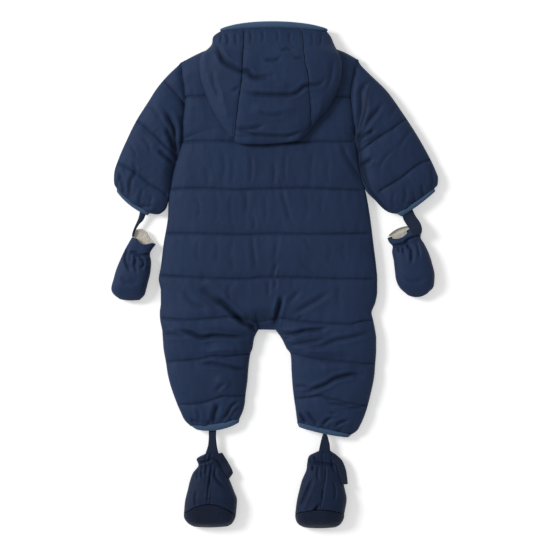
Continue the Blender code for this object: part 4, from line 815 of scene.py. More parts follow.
def edge_height(y):
    """Height of the body's side: the armhole stands up, and the free side comes down to its seam."""
    across = 2.0 * (y - ARMPIT_Y) / (SHOULDER_Y - ARMPIT_Y) - 1.0
    return np.where(y <= ARMPIT_Y, 0.0, ARMHOLE_EDGE * crown(np.clip(across, -1.0, 1.0)))


def back_crest(x, y):
    """Crest of the back's padding, rounded down to the shoulder seam."""
    below = np.maximum(read(BACK_TOP, x, "x", "y") - y, 0.0)
    neck = NECK_EDGE * smooth((NECK_HALF - np.abs(x - NECK_X)) / 20.0)
    turned = mix(neck, 1.0, crown(1.0 - np.minimum(below / SHOULDER_ROUND, 1.0), 2.4))
    return np.maximum(BACK_CREST * turned, LIP + LEAST_WALL)


def back_height(x, y):
    """Height of the back over the floor, without its sewn lines and folds."""
    left, right = read(TORSO, y, "y", "left"), read(TORSO, y, "y", "right")
    across = np.clip((2.0 * x - left - right) / (right - left), -1.0, 1.0)
    return SEAM_LOW + LIP + (back_crest(x, y) - LIP) * mix(edge_height(y), 1.0, crown(across))


def armhole(side):
    ys = np.linspace(ARMPIT_Y - 6.0, SHOULDER_Y - 2.0, 24)
    return np.stack([read(TORSO, ys, "y", side), ys], axis=1)


def armhole_drop(x, y, side):
    """The groove where a sleeve is sewn to the body."""
    far, along, _, _ = to_line(x, y, armhole(side))
    pull = 1.0 + 0.35 * noise(along, 3.0, 14.0, SEED["armhole"])
    pucker = 0.9 * noise(along, 0.3 * far, 7.0, SEED["armhole"] + 1)
    return ARMHOLE_GROOVE * pull * np.exp(-far / ARMHOLE_GROOVE) + pucker * np.exp(-far / 11.0)


def fold_strength(y):
    """The folds are shallow on the flat torso, and deep round the crotch and on the legs."""
    return mix(0.62, 1.15, smooth((12.0 - y) / 40.0)) * mix(1.0, 1.05, smooth((-95.0 - y) / 20.0))


def back_layer(x, y, height, crest, least, drop, weight, free, settings):
    """Heights of the back's outer and inner face, with its seams and folds.

    height is the section's share of the crest, least is the padding left under a seam, drop is what else
    draws the surface down, and free is where the edge has nothing sewn to it.
    """
    seed = SEED["back"]
    drop = drop + quilted(x, y, QUILTS["back"], settings, seed)
    drop += folded(x, y, FOLDS["back"], fold_strength(y))
    drop -= crumpled(x, y, settings, seed)
    base = SEAM_LOW + LIP
    z = np.maximum(base + (crest - LIP) * height - drop * weight, base + least * height)
    return z, np.where(free, SEAM_LOW, np.maximum(SEAM_LOW, np.minimum(SLIT_HIGH, z - LIP)))


def back_torso(settings):
    """Outer and inner points of the back from shoulder to crotch."""
    cx, cy, legs = crotch_line()
    share = (cx - cx[0]) / (cx[-1] - cx[0])
    t = np.linspace(0.0, 1.0, int((SHOULDER_Y - CROTCH_Y) / GRID))[:, None]
    side_y = mix(SHOULDER_Y, CROTCH_Y, t)
    x = mix(read(TORSO, side_y, "y", "left"), read(TORSO, side_y, "y", "right"), share)
    y = mix(read(BACK_TOP, x, "x", "y"), cy, t)
    split = smooth((SPLIT_TOP - y) / (SPLIT_TOP - CROTCH_Y))
    height = mix(mix(edge_height(side_y), 1.0, crown(2.0 * share - 1.0)), crown(legs) + 0.0 * x, split)
    weight = smooth(1.9 * height) * smooth((read(BACK_TOP, x, "x", "y") - y) / 16.0)
    free, leg_sides = np.zeros(x.shape, bool), np.abs(legs) == 1.0
    free[:, [0, -1]] = edge_height(side_y) < 0.3
    free[-1] |= leg_sides
    drop = armhole_drop(x, y, "left") + armhole_drop(x, y, "right")
    z, inside = back_layer(x, y, height, back_crest(x, y), SLACK, drop, weight, free, settings)
    pull = mix(2.0 * share - 1.0, legs, split) * WALL * 0.6
    lift = np.zeros(x.shape)
    lift[-1] = np.where(leg_sides, 1.2, 0.0)
    lift[0] = -1.0
    return stacked(x, y, z), stacked(x - pull, y + lift, inside)


def back_leg(rows, settings, seed):
    """Outer and inner points of the back of one leg, without its first row."""
    row, along = dense(rows, GRID)
    row, end = part(row, slice(1, None)), (along[-1] - along)[1:]
    across = places(LEG_COLUMNS)
    x, y = over(row, across)
    height = crown(across) + 0.0 * x
    crest = row.crest * BACK_CREST / LEG_CREST
    drop = gathered(across * width(row) / 2.0, end, settings, seed)
    least, weight, free = np.minimum(SLACK, 0.3 * crest), smooth(1.9 * height), np.abs(across) == 1.0
    z, inside = back_layer(x, y, height, crest, least, drop, weight, free, settings)
    return stacked(x, y, z), stacked(*over(row, across, WALL * 0.6), inside)


def grown(first, others):
    """Faces of a grid, and of others that each go on from the last row of it, from a column of that row."""
    rows, columns = first.shape[:2]
    faces, start = [net(rows, columns)], rows * columns
    for column_number, other in others:
        count, size = other.shape[:2]
        c = np.arange(size)
        faces += [bridge((rows - 1) * columns + column_number + c, start + c), net(count, size, start=start)]
        start += count * size
    return np.concatenate(faces)


def flattened(grids):
    return np.concatenate([grid.reshape(-1, 3) for grid in grids])


def make_back(settings, finish):
    """The back and the backs of both legs, one piece from shoulder to hem."""
    outer, inner = [[grid] for grid in back_torso(settings)]
    for rows in (LEG_LEFT, LEG_RIGHT):
        leg, inside = back_leg(rows, settings, sum(grid.shape[0] * grid.shape[1] for grid in outer))
        outer.append(leg)
        inner.append(inside)
    faces = grown(outer[0], ((0, outer[1]), (LEG_COLUMNS + CROTCH_COLUMNS, outer[2])))
    creases = (*QUILTS["back"], armhole("left"), armhole("right")), FOLDS["back"]
    cloth_wall("back", flattened(outer), flattened(inner), faces, finish, fill=0.6, creases=creases)


def side_round(far):
    """Height of an underside at a distance from its free edge, a quarter round and then flat on the floor."""
    low = FRONT_LIP * (1.0 - np.sqrt(np.maximum(0.0, 1.0 - (1.0 - np.minimum(far / FRONT_ROUND, 1.0)) ** 2)))
    return np.where(low < FLAT, 0.0, low)


def make_front(side, finish):
    """One front with the front of its leg, flat on the floor, from the shoulder to the hem."""
    left = side == "left"
    way, rows = (1.0, LEG_LEFT) if left else (-1.0, LEG_RIGHT)
    count = ACROSS["front"]
    across = places(count) * way
    outside, inseam = (rows[0].ax, rows[0].bx)[:: int(way)]
    centre = read(CENTRE, CROTCH_Y, "y", "x") - way * 0.3
    to_zip = mix(inseam, centre, np.linspace(0.0, 1.0, 4)[1:])
    crotch = np.concatenate([mix(outside, inseam, (places(count) + 1.0) / 2.0), to_zip])
    spread = (crotch - crotch[0]) / (crotch[-1] - crotch[0])
    t = np.linspace(0.0, 1.0, 90)[:, None]
    side_y = mix(SHOULDER_Y, CROTCH_Y, t)
    edge = read(TORSO, side_y, "y", side)
    by_zip = read(CENTRE, side_y, "y", "x") - way * ZIP_HALF * (1.0 - smooth((t - 0.93) / 0.07))
    x = mix(edge, by_zip, spread)
    top = read(FRONT_TOP, x, "x", "y")
    y = mix(top, CROTCH_Y, t)
    z = side_round(np.minimum(np.abs(x - edge), (top - y) * 1.5))
    z[-1, count - 1 :] = FRONT_LIP
    body, body_in = stacked(x, y, z), stacked(x, y, SLIT_LOW)
    body_in[:, 0, 0] += way * 0.8
    body_in[0, :, 1] -= 0.8
    row = part(dense(rows, STEP["front"])[0], slice(1, None))
    x, y = over(row, across)
    leg = stacked(x, y, side_round((1.0 - np.abs(across)) * width(row) / 2.0))
    leg_in = stacked(x, y, SLIT_LOW)
    leg_in[:, 0, 0] += way * 0.8
    leg_in[:, -1, 0] -= way * 0.8
    faces = grown(body, ((0, leg),))
    cloth_wall(f"front_{side}", flattened([body, leg]), flattened([body_in, leg_in]), faces, finish, fill=0.3)


def make_sleeve(side, settings, finish):
    """A sleeve, flattened, whose upper end follows the armhole."""
    left, node = side == "left", f"sleeve_{side}"
    rows, way = (SLEEVE_LEFT, -1.0) if left else (SLEEVE_RIGHT, 1.0)
    row, along = dense(rows, GRID)
    lines, folds = QUILTS[node], FOLDS[node]
    low, high = row.by[0, 0], row.ay[0, 0]
    corner = read(BACK_TOP, read(TORSO, SHOULDER_Y, "y", side), "x", "y")
    foot = LEG_LEFT[0].ay if left else LEG_RIGHT[0].by
    across = places(ACROSS["sleeve"])
    outer, inner = round_tube(row, across, settings, SEED[node], lines, folds, along[-1] - along, 0.75)
    for ring in (outer, inner):
        level = np.clip(ring[..., 1], low, high)
        straight = mix(row.bx[0, 0], row.ax[0, 0], (level - low) / (high - low))
        seam = read(TORSO, mix(SHOULDER_Y, CROTCH_Y, (corner - level) / (corner - foot)), "y", side) - way
        ring[..., 0] += (seam - straight) * (1.0 - smooth(along / SLEEVE_FADE))
    top = outer[:, : len(across)]
    x, y = top[..., 0], top[..., 1]
    top[..., 2] = tube_drawn(row, crown(across) + 0.0 * x, top[..., 2], armhole_drop(x, y, side))
    inner[:, 1 : len(across) - 1, 2] = np.minimum(SLIT_HIGH, top[:, 1:-1, 2] - LEAST_WALL)
    faces = net(*outer.shape[:2], ring=True)
    sewn = (*lines, armhole(side))
    cloth_wall(node, outer, inner, faces, finish, fill=0.6, creases=(sewn, folds))


def tucked(rows, far):
    """A table with its first row moved back, so that the piece starts inside the one that it is sewn to."""
    first, last = rows[0], rows[-1]
    along_x, along_y = first.ax + first.bx - last.ax - last.bx, first.ay + first.by - last.ay - last.by
    share = far / math.hypot(along_x / 2.0, along_y / 2.0)
    moved = {key: mix(getattr(first, key), getattr(last, key), -share) for key in ("ax", "ay", "bx", "by")}
    return (first._replace(**moved), *rows[1:])


def make_band(node, rows, settings, finish):
    """A ribbed binding round a flattened opening."""
    row, along = dense(tucked(rows, BAND_TUCK), STEP["band"])
    across = places(ACROSS["band"])
    run = (across + 1.0) / 2.0 * width(row)
    rib = settings.rib_height * np.sin(run * 2.0 * math.pi / settings.rib_step)
    roll = BAND_ROLL * (1.0 - (2.0 * along / along[-1] - 1.0) ** 2)
    outer, inner = rings(row, across, SEAM + (row.crest + roll + rib) * crown(across))
    turn = np.concatenate([run, (across[-2:0:-1] + 1.0) / 2.0 * width(row) + 300.0], axis=1)
    faces, uv = net(*outer.shape[:2], ring=True), stacked(turn, along)
    cloth_wall(node, outer, inner, faces, finish, uv=uv, fill=0.4, slot="blue_binding")


# ---------------------------------------------------------------- the hood


def hood_rows():
    """The hood's rows from the mouth down to its fold, each a column of values."""
    ys = column(HOOD, "y")
    at = np.linspace(ys[0], ys[-1], int((ys[0] - ys[-1]) / STEP["hood"]) + 1)[:, None]
    return HoodRow(at, *(curve(ys, column(HOOD, key), at) for key in HoodRow._fields[1:]))


def hood_across(row, x):
    return np.clip((2.0 * x - row.left - row.right) / (row.right - row.left), -1.0, 1.0)


def hood_top(row, x):
    return row.rim + (row.crest - row.rim) * crown(hood_across(row, x), HOOD_CROWN)


def rest_height(row, x):
    """Height at which the hood's underside lies on the back."""
    return back_height(x, row.y + 0.0 * x) + HOOD_CLEAR


def hood_under(row, x):
    return row.rim - (row.rim - rest_height(row, x)) * crown(hood_across(row, x), HOOD_RIM_TURN)


def hood_seams():
    ys = np.linspace(HOOD[0].y, HOOD[-1].y, 40)
    return [np.stack([read(HOOD, ys, "y", key), ys], axis=1) for key in ("seam_left", "seam_right")]


def hood_relief(x, y, z, settings, weight):
    """The hood's top surface with its folds and its two seams."""
    drop = folded(x, y, FOLDS["hood"], settings.hood_folds) - 1.3 * crumpled(x, y, settings, SEED["hood"])
    for seed, line in enumerate(hood_seams(), SEED["hood"] + 1):
        far, along, _, side = to_line(x, y, line)
        pucker = noise(along, 9.0 * side + 0.3 * far, 7.0, seed)
        sunk = smooth((HOOD[0].y + 2.0 - y) / 8.0)
        drop += (1.5 + 0.5 * noise(along, 5.0, 16.0, seed)) * np.exp(-far / 2.6) * sunk
        drop += 0.55 * np.exp(-(((far - 2.8) / 0.8) ** 2)) + 0.8 * pucker * np.exp(-far / 9.0)
    return z - drop * weight


def bowed(row, x):
    """How far up the edge of the mouth is, which bows out past the straight line between its corners."""
    return row.y + MOUTH_BOW * (1.0 - hood_across(row, x) ** 2) * (1.0 - smooth((HOOD[0].y - row.y) / 14.0))


def layer(top, low):
    return np.minimum(HOOD_WALL, HOOD_LAYER * (top - low))


def make_hood_centre(settings, finish):
    """The middle panel: from the mouth over the crown, round the rolled fold, and under to the neck seam."""
    row = hood_rows()
    lies = row.y <= NAPE_Y
    share = np.linspace(0.0, 1.0, ACROSS["hood"])
    x = mix(row.seam_left + SEAM_GAP, row.seam_right - SEAM_GAP, share)
    flat, y = hood_top(row, x), bowed(row, x)
    z = hood_relief(x, y, flat, settings, 1.0)
    low = np.where(lies, rest_height(row, x), 0.0)
    outer, inner = [stacked(x, y, z)], [stacked(x, y, z - layer(flat, low))]
    last, end_x, top = part(row, slice(-1, None)), x[-1:], z[-1:]
    low = rest_height(last, end_x)
    turn = np.radians(np.linspace(0.0, 180.0, 22)[1:-1])[:, None]
    middle, half = (top + low) / 2.0, (top - low) / 2.0
    reach = (last.y - read(HOOD_FOLD, end_x, "x", "y")) * np.sin(turn) ** 0.8
    outer.append(stacked(end_x, last.y - reach, middle + half * np.cos(turn)))
    inner.append(stacked(end_x, last.y - reach * 0.4, middle + (half - layer(top, low)) * np.cos(turn)))
    chosen = np.flatnonzero(lies[:, 0])[::-1]
    row, x, flat = part(row, chosen), x[chosen], flat[chosen]
    low = rest_height(row, x)
    outer.append(stacked(x, row.y, low))
    inner.append(stacked(x, row.y, low + layer(flat, low)))
    outer, inner = np.concatenate(outer), np.concatenate(inner)
    creases = hood_seams(), FOLDS["hood"]
    cloth_wall("hood_centre", outer, inner, net(*outer.shape[:2]), finish, fill=0.5, creases=creases)


def make_hood_side(side, settings, finish):
    """A side panel: from its seam over the crown, round the side, and under it where it lies on the back."""
    left = side == "left"
    row = hood_rows()
    lies = row.y <= NAPE_Y
    seam = row.seam_left - SEAM_GAP if left else row.seam_right + SEAM_GAP
    rim = row.left if left else row.right
    inset = (4.0 if left else -4.0) * np.minimum(1.0, np.abs(rim - seam) / 20.0)
    share = np.sin(np.linspace(0.0, math.pi / 2.0, ACROSS["hood_side"]))[:-1]
    under = np.concatenate([[0.985, 0.96, 0.93, 0.9], np.linspace(0.84, 0.0, 16)])
    x = mix(seam, rim, share)
    flat, y = hood_top(row, x), bowed(row, x)
    z = np.maximum(hood_relief(x, y, flat, settings, 1.0 - share**6), row.rim + 0.3)
    low = np.where(lies, hood_under(row, x), COLLAR_TOP)
    top_in = stacked(x + inset * share, y, z - layer(flat, low))
    ux = mix(seam, rim, np.where(lies, under, np.maximum(under, 0.84)))
    uz = np.where(lies, hood_under(row, ux), mix(COLLAR_TOP, row.rim, smooth((under - 0.9) / 0.1)))
    thick = np.where(lies, layer(hood_top(row, ux), uz), 0.6)
    below_in = stacked(ux + inset * np.where(lies, under, 0.8), row.y, uz + thick)
    rim_in = stacked(rim + inset, row.y, (top_in[:, -1:, 2] + below_in[:, :1, 2]) / 2.0)
    outer = np.concatenate([stacked(x, y, z), stacked(rim, row.y, row.rim), stacked(ux, row.y, uz)], axis=1)
    inner = np.concatenate([top_in, rim_in, below_in], axis=1)
    rows, columns = outer.shape[:2]
    keep = np.ones((rows - 1, columns - 1), bool)
    free_rows, short_rim = int(np.argmax(lies[:, 0])), 5
    keep[:free_rows, len(share) + short_rim :] = False
    faces = net(rows, columns)[keep.ravel()]
    creases = hood_seams(), FOLDS["hood"]
    cloth_wall(f"hood_side_{side}", outer, inner, faces, finish, fill=0.5, creases=creases)


def make_collar(side, finish):
    """The front neck piece, flat on the floor between the neck seam and the mouth of the hood."""
    way, wide = (1.0, 86.0) if side == "left" else (-1.0, 92.0)
    share = np.linspace(0.0, 1.0, ACROSS["collar"])
    t = places(ACROSS["collar"])[:, None] * 0.5 + 0.5
    near, far = (mix(reach, ZIP_HALF + 0.4, share) for reach in (wide, wide - 2.0))
    x = CENTRE[0].x - way * mix(near, far, t)
    y = mix(read(FRONT_TOP, CENTRE[0].x - way * near, "x", "y") + 0.6, MOUTH_Y, t)
    edge = 1.0 - crown(2.0 * t - 1.0, 5.0) + 0.0 * x
    low = 2.4 * edge
    low[low < 0.2] = 0.0
    outer, inner = stacked(x, y, low), stacked(x, y, COLLAR_TOP - 0.4 - 1.4 * edge)
    cloth_wall(f"collar_{side}", outer, inner, net(*outer.shape[:2]), finish, fill=0.3)


def make_hood_binding(settings, finish):
    """The ribbed binding round the hood's mouth, from one side of the zip to the other."""
    x, y, z, wide, high = on_path(MOUTH, 520)
    run = lengths(np.hstack([x, z]))[:, None]
    dx, dz = np.gradient(x[:, 0])[:, None], np.gradient(z[:, 0])[:, None]
    step = np.hypot(dx, dz)
    count = 20
    angle = np.linspace(0.0, 2.0 * math.pi, count + 1)[:-1]
    rib = 1.0 + settings.rib_height * 0.22 * np.sin(run * 2.0 * math.pi / settings.rib_step)
    out, up = wide / 2.0 * np.cos(angle) * rib, high / 2.0 * np.sin(angle) * rib
    ring = stacked(x - dz / step * up, y + out, z + dx / step * up)
    points = np.concatenate([ring.reshape(-1, 3), ring[[0, -1]].mean(axis=1)])
    c, after = np.arange(count), (np.arange(count) + 1) % count
    first, last = np.full(count, len(points) - 2), np.full(count, len(points) - 1)
    begin = (len(ring) - 1) * count
    faces = np.concatenate([
        net(len(ring), count, ring=True),
        np.stack([first, after, c, first], axis=-1),
        np.stack([last, begin + c, begin + after, last], axis=-1),
    ])
    uv = stacked(run, angle / (2.0 * math.pi) * 28.0).reshape(-1, 2)
    uv = np.concatenate([uv, np.zeros((2, 2))])
    put("hood_binding", points, faces, finish, fill=0.5, slot="blue_binding", uv=uv)


# ---------------------------------------------------------------- mittens, booties, straps and zip


def closed_end(outer, inner, row, count):
    """Faces of a tube closed at its last ring, and its inner points drawn back from that end."""
    last = part(row, -1)
    centre = np.concatenate([last.ax + last.bx, last.ay + last.by]) / 2.0
    back = inner[-1 - BAG_ROWS].copy()
    end = mix(inner[-1].copy(), back, 0.7)
    end[:, :2] = mix(end[:, :2], centre, 0.3)
    end[:, 2] = mix(end[:, 2], SEAM, 0.75)
    for i in range(BAG_ROWS):
        inner[-1 - i] = mix(end, back, i / BAG_ROWS)
    size = outer.shape[1]
    start, c = (len(outer) - 1) * size, np.arange(count)
    return np.concatenate([net(len(outer), size, ring=True), bridge(start + c, start + (size - c) % size)])


def make_mitten(side, settings, finish):
    """A mitten closed at its finger end, its mouth sagging open."""
    node = f"mitten_{side}"
    rows, middle = (MITTEN_LEFT, 0.05) if side == "left" else (MITTEN_RIGHT, -0.32)
    row, along = dense(rows, STEP["mitten"])
    folds, across = FOLDS[node], places(ACROSS["mitten"])
    outer, inner = round_tube(row, across, settings, SEED[node], folds=folds, strength=1.3)
    path = np.hstack([row.ax + row.bx, row.ay + row.by])
    way = path[8] - path[0]
    share = (across - middle) / SAG_HALF
    sag = SAG * np.maximum(0.0, 1.0 - share**2) * np.exp(-((along / SAG_REACH) ** 2))
    for ring in (outer, inner):
        ring[:, : len(across), :2] += sag[..., None] * way / np.hypot(*way)
    faces = closed_end(outer, inner, row, len(across))
    cloth_wall(node, outer, inner, faces, finish, fill=0.5, creases=((), folds))


def make_lip(side, finish):
    """The fleece that shows in a mitten's mouth: a rim that stands out of it, and a flat tongue inside."""
    (first, last), reach = (MITTEN_LIP_LEFT, 1.45) if side == "left" else (MITTEN_LIP_RIGHT, 2.3)
    t = np.linspace(0.0, reach, 26)[:, None]
    span = Row(*(mix(getattr(first, key), getattr(last, key), t) for key in Row._fields))
    across = np.linspace(-1.0, 1.0, ACROSS["lip"])
    x, y = over(span, across * (1.0 - 0.4 * smooth((t - 0.85) / 0.6)))
    soft = 0.3 * noise(x, y, 2.4, SEED["lip"]) + 0.3 * noise(x, y, 5.5, SEED["lip"] + 1)
    edge = np.minimum(1.0, 5.0 * (1.0 - np.abs(across)))
    rim = 1.0 + 1.5 * np.exp(-((t / 0.22) ** 2)) - 2.6 * np.sin(math.pi * np.clip(t, 0.0, 1.0)) * edge
    within = smooth((t - 0.85) / 0.2)
    top = mix(SLIT_LOW - 1.4 + rim + soft * edge, SLIT_LOW + 0.9 + 0.4 * soft, within)
    low = mix(np.where(np.abs(across) < 1.0, 3.5, 6.0), SLIT_LOW + 0.2, within)
    outer, inner = stacked(x, y, top), stacked(x, y, low)
    cloth_wall(f"mitten_lip_{side}", outer, inner, net(*x.shape), finish, fill=0.4, slot="cream_fleece")


def make_bootie(side, settings, finish, under_finish):
    """A bootie's two upper halves, sewn along the heel, and its sole."""
    rows, sole = (BOOTIE_LEFT, SOLE_LEFT) if side == "left" else (BOOTIE_RIGHT, SOLE_RIGHT)
    row, along = dense(rows, STEP["bootie"])
    folds, full, seed = FOLDS[f"bootie_{side}"], places(ACROSS["bootie"]), SEED[f"bootie_{side}"]
    outer, inner = round_tube(row, full, settings, seed, folds=folds, strength=1.15)
    count, size = len(full), outer.shape[1]
    far = np.abs(full) * width(row) / 2.0
    seam = noise(along, 3.0 * np.sign(full) + 0.3 * far, 6.0, seed + 5)
    drop = 1.0 * np.exp(-far / 1.8) + 0.7 * seam * np.exp(-far / 8.0)
    outer[:, :count, 2] -= drop * smooth(4.0 * (1.0 - np.abs(full)))
    middle, below = (count - 1) // 2, (size - np.arange(count)) % size
    below[-1] = count - 1
    aside = HEEL_GAP * np.hstack([row.bx - row.ax, row.by - row.ay]) / width(row)
    halves = {"inner": (np.arange(middle, count), 1.0), "outer": (np.arange(middle, -1, -1), -1.0)}
    for half, (chosen, way) in halves.items():
        ring = np.concatenate([chosen, below[chosen[:-1][::-1]]])
        walls = [wall[:, ring] for wall in (outer, inner)]
        for wall in walls:
            wall[:, [0, -1], :2] += way * aside[:, None]
        node = f"bootie_{side}_{half}"
        cloth_wall(node, *walls, net(*walls[0].shape[:2]), finish, fill=0.5, creases=((), folds))
    row, _ = dense(sole, STEP["sole"])
    across = places(ACROSS["sole"])
    outer, inner = round_tube(row, across, settings, seed + 9)
    faces = closed_end(outer, inner, row, len(across))
    cloth_wall(f"bootie_{side}_sole", outer, inner, faces, under_finish, fill=0.5, slot="dark_sole")


def cloth_tree(node):
    """The faces of a made piece, for finding the height of its cloth."""
    data = bpy.data.objects[f"snowsuit_{node}"].data
    return BVHTree.FromPolygons([v.co for v in data.vertices], [p.vertices for p in data.polygons])


def cloth_height(x, y, trees):
    """Height of the cloth over a point of the floor, or nan beside it."""
    hits = [tree.ray_cast(Vector((x * MM, y * MM, 1.0)), Vector((0.0, 0.0, -1.0)))[0] for tree in trees]
    return max((hit.z / MM for hit in hits if hit is not None), default=np.nan)


def lying(px, py, across, ends, side):
    """Heights of a tab that lies on its bootie along its inner edge and hangs down outside it."""
    trees = [cloth_tree(f"bootie_{side}_{half}") for half in ("inner", "outer")]
    under = np.array([cloth_height(x, y, trees) for x, y in zip(px[:, 0], py[:, 0])])
    number, there = np.arange(len(under)), ~np.isnan(under)
    under = np.interp(number, number[there], under[there])
    under = np.convolve(np.pad(under, 3, mode="edge"), np.full(7, 1.0 / 7.0), mode="valid")[:, None]
    return under + TAB_LIFT - TAB_LEAN * (across + 1.0) / 2.0 * (0.35 + 0.65 * ends)


def make_strap(name, finish):
    """A tape along its path, a little wavy, its sides curled down where it is pulled narrow."""
    x, y, z, half_x, half_y = on_path(STRAPS[name], 40)
    across = np.linspace(-1.0, 1.0, ACROSS["strap"])
    run = lengths(np.hstack([x, y]))[:, None]
    wide = 2.0 * np.hypot(half_x, half_y)
    px, py = x + across * half_x, y + across * half_y
    ends = smooth(np.minimum(run, run[-1] - run) / 4.0)
    curl = np.sqrt(np.maximum(0.0, TAPE_WIDTH**2 - wide**2) * 3.0 / 16.0)
    wave = 0.5 * noise(run, 2.0 * across, 9.0, SEED["strap"]) * ends - 0.25 * np.abs(across) ** 6
    if "tab" in name:
        z = lying(px, py, across, ends, name.rsplit("_", 1)[1])
    top = z + wave + curl * (0.35 - across * across)
    wide = np.maximum(wide, TAPE_WIDTH)
    outer, inner = stacked(px, py, top), stacked(px, py, top - TAPE_THICK)
    uv = stacked(run, across * wide / 2.0)
    piece = cloth_wall(name, outer, inner, net(*px.shape), finish, uv=uv, slot="navy_tape")


def make_zip(finish):
    """The zip's tape, closed from the crotch to the mouth of the hood."""
    across = np.linspace(-1.0, 1.0, ACROSS["zip"])
    y = mix(MOUTH_Y, -66.0, np.linspace(0.0, 1.0, 200)[:, None])
    x = read(CENTRE, y, "y", "x") + across * (ZIP_HALF - 0.3)
    outer, inner = stacked(x, y, 5.7), stacked(x, y, 4.5 - 0.3 * np.exp(-((across / 0.3) ** 4)))
    piece = cloth_wall("zip_chain", outer, inner, net(*x.shape), finish, uv=stacked(x, y), slot="navy_tape")


# ---------------------------------------------------------------- stitches and zip teeth


def line_group():
    """Small rounded forms set along lines, such as stitches, or the coils of a zip from side to side."""

    def build(tree, given):
        lines = out_of(tree, "GeometryNodeMeshToCurve", {0: given["Lines"]})
        spread = {"Curve": lines, "Length": given["Pitch"]}
        spots = out_of(tree, "GeometryNodeResampleCurve", spread, mode="LENGTH")
        half = [times(tree, given[key], 0.5) for key in ("Length", "Width", "Height")]
        form = out_of(tree, "GeometryNodeMeshUVSphere", {"Segments": 8, "Rings": 4, "Radius": 1.0})
        scale = out_of(tree, "ShaderNodeCombineXYZ", dict(enumerate(half)))
        tangent = out_of(tree, "GeometryNodeInputTangent")
        turn = out_of(tree, "FunctionNodeAlignRotationToVector", {"Vector": tangent}, axis="X")
        laid = {"Points": spots, "Instance": form, "Rotation": turn, "Scale": scale}
        forms = out_of(tree, "GeometryNodeInstanceOnPoints", laid)
        number = out_of(tree, "GeometryNodeInputIndex")
        odd = out_of(tree, "ShaderNodeMath", {0: number, 1: 2.0}, operation="MODULO")
        side = plus(tree, times(tree, odd, 2.0), -1.0)
        aside = out_of(tree, "ShaderNodeCombineXYZ", {1: times(tree, side, given["Stagger"])})
        pushed = {"Instances": forms, "Translation": aside, "Local Space": True}
        moved = out_of(tree, "GeometryNodeTranslateInstances", pushed)
        whole = out_of(tree, "GeometryNodeRealizeInstances", {0: moved})
        return out_of(tree, "GeometryNodeSetMaterial", {0: whole, "Material": given["Finish"]})

    sizes = dict.fromkeys(("Pitch", "Length", "Width", "Height", "Stagger"), MM)
    inputs = {"Lines": None, **sizes, "Finish": None}
    return group("Snowsuit forms on a line", inputs, "Forms", build, "GeometryNodeTree")


def set_along(name, lines, sizes, finish):
    """Sets small forms along lines given in mm, and keeps them as one plain mesh."""
    inputs = {key: size * MM for key, size in zip(("Pitch", "Length", "Width", "Height", "Stagger"), sizes)}
    inputs["Finish"] = finish
    points, edges = [], []
    for line in lines:
        edges += [(len(points) + i, len(points) + i + 1) for i in range(len(line) - 1)]
        points += (np.asarray(line) * MM).tolist()
    data = bpy.data.meshes.new(name)
    data.from_pydata(points, edges, [])
    piece = placed(name, data)
    modifier = piece.modifiers.new("forms", "NODES")
    modifier.node_group = bpy.data.node_groups.get("Snowsuit forms on a line") or line_group()
    for socket in modifier.node_group.interface.items_tree:
        if socket.in_out == "INPUT" and socket.name in inputs:
            modifier[socket.identifier] = inputs[socket.name]
    graph = bpy.context.evaluated_depsgraph_get()
    made = bpy.data.meshes.new_from_object(piece.evaluated_get(graph), depsgraph=graph)
    piece.modifiers.clear()
    piece.data = made
    made.name = name
    made.shade_smooth()
    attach(piece, "suit")


def laid_on(line, tree):
    """A sewn line cut to the cloth under it and laid on that cloth, as one or more lines of points."""
    line = rounded(line)
    along = lengths(line)
    at = np.linspace(0.0, along[-1], int(along[-1] / LINE_STEP))
    runs = [[]]
    for x, y in zip(np.interp(at, along, line[:, 0]), np.interp(at, along, line[:, 1])):
        height = cloth_height(x, y, [tree])
        if height > SIDE_HEIGHT:
            runs[-1].append((x, y, height + THREAD_LIFT))
        elif runs[-1]:
            runs.append([])
    return [run for run in runs if len(run) > 3]


def make_stitches(settings, finish):
    """The threads of every sewn line of the back and the sleeves."""
    runs = []
    for node, lines in QUILTS.items():
        tree = cloth_tree(node)
        for line in lines:
            runs += laid_on(line, tree)
    sizes = (settings.stitch_pitch, settings.stitch_length, settings.stitch_width, settings.stitch_width, 0.0)
    set_along("snowsuit_stitches", runs, sizes, finish)


def make_teeth(settings, finish):
    """The coils of the zip, which stand out of its tape from the crotch to the slider."""
    y = np.arange(TEETH_LOW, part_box("zip_slider")[0][1] / MM - 1.0, 6.0)
    line = stacked(read(CENTRE, y, "y", "x"), y, TEETH_HEIGHT)
    thick = settings.tooth_length
    sizes = (settings.tooth_pitch, thick, settings.tooth_width, thick, settings.tooth_stagger)
    set_along("snowsuit_zip_teeth", [line], sizes, finish)


# ---------------------------------------------------------------- settings


def length(name, text, value, most):
    return bpy.props.FloatProperty(
        name=name, description=text, default=value * MM, min=0.0, max=most * MM, precision=5, unit="LENGTH"
    )


def share_of(name, text, value, most=1.0):
    return bpy.props.FloatProperty(
        name=name, description=text, default=value, min=0.0, max=most, subtype="FACTOR"
    )


def colour(name, text, value):
    return bpy.props.FloatVectorProperty(
        name=name, description=text, default=value, size=3, min=0.0, max=1.0, subtype="COLOR"
    )


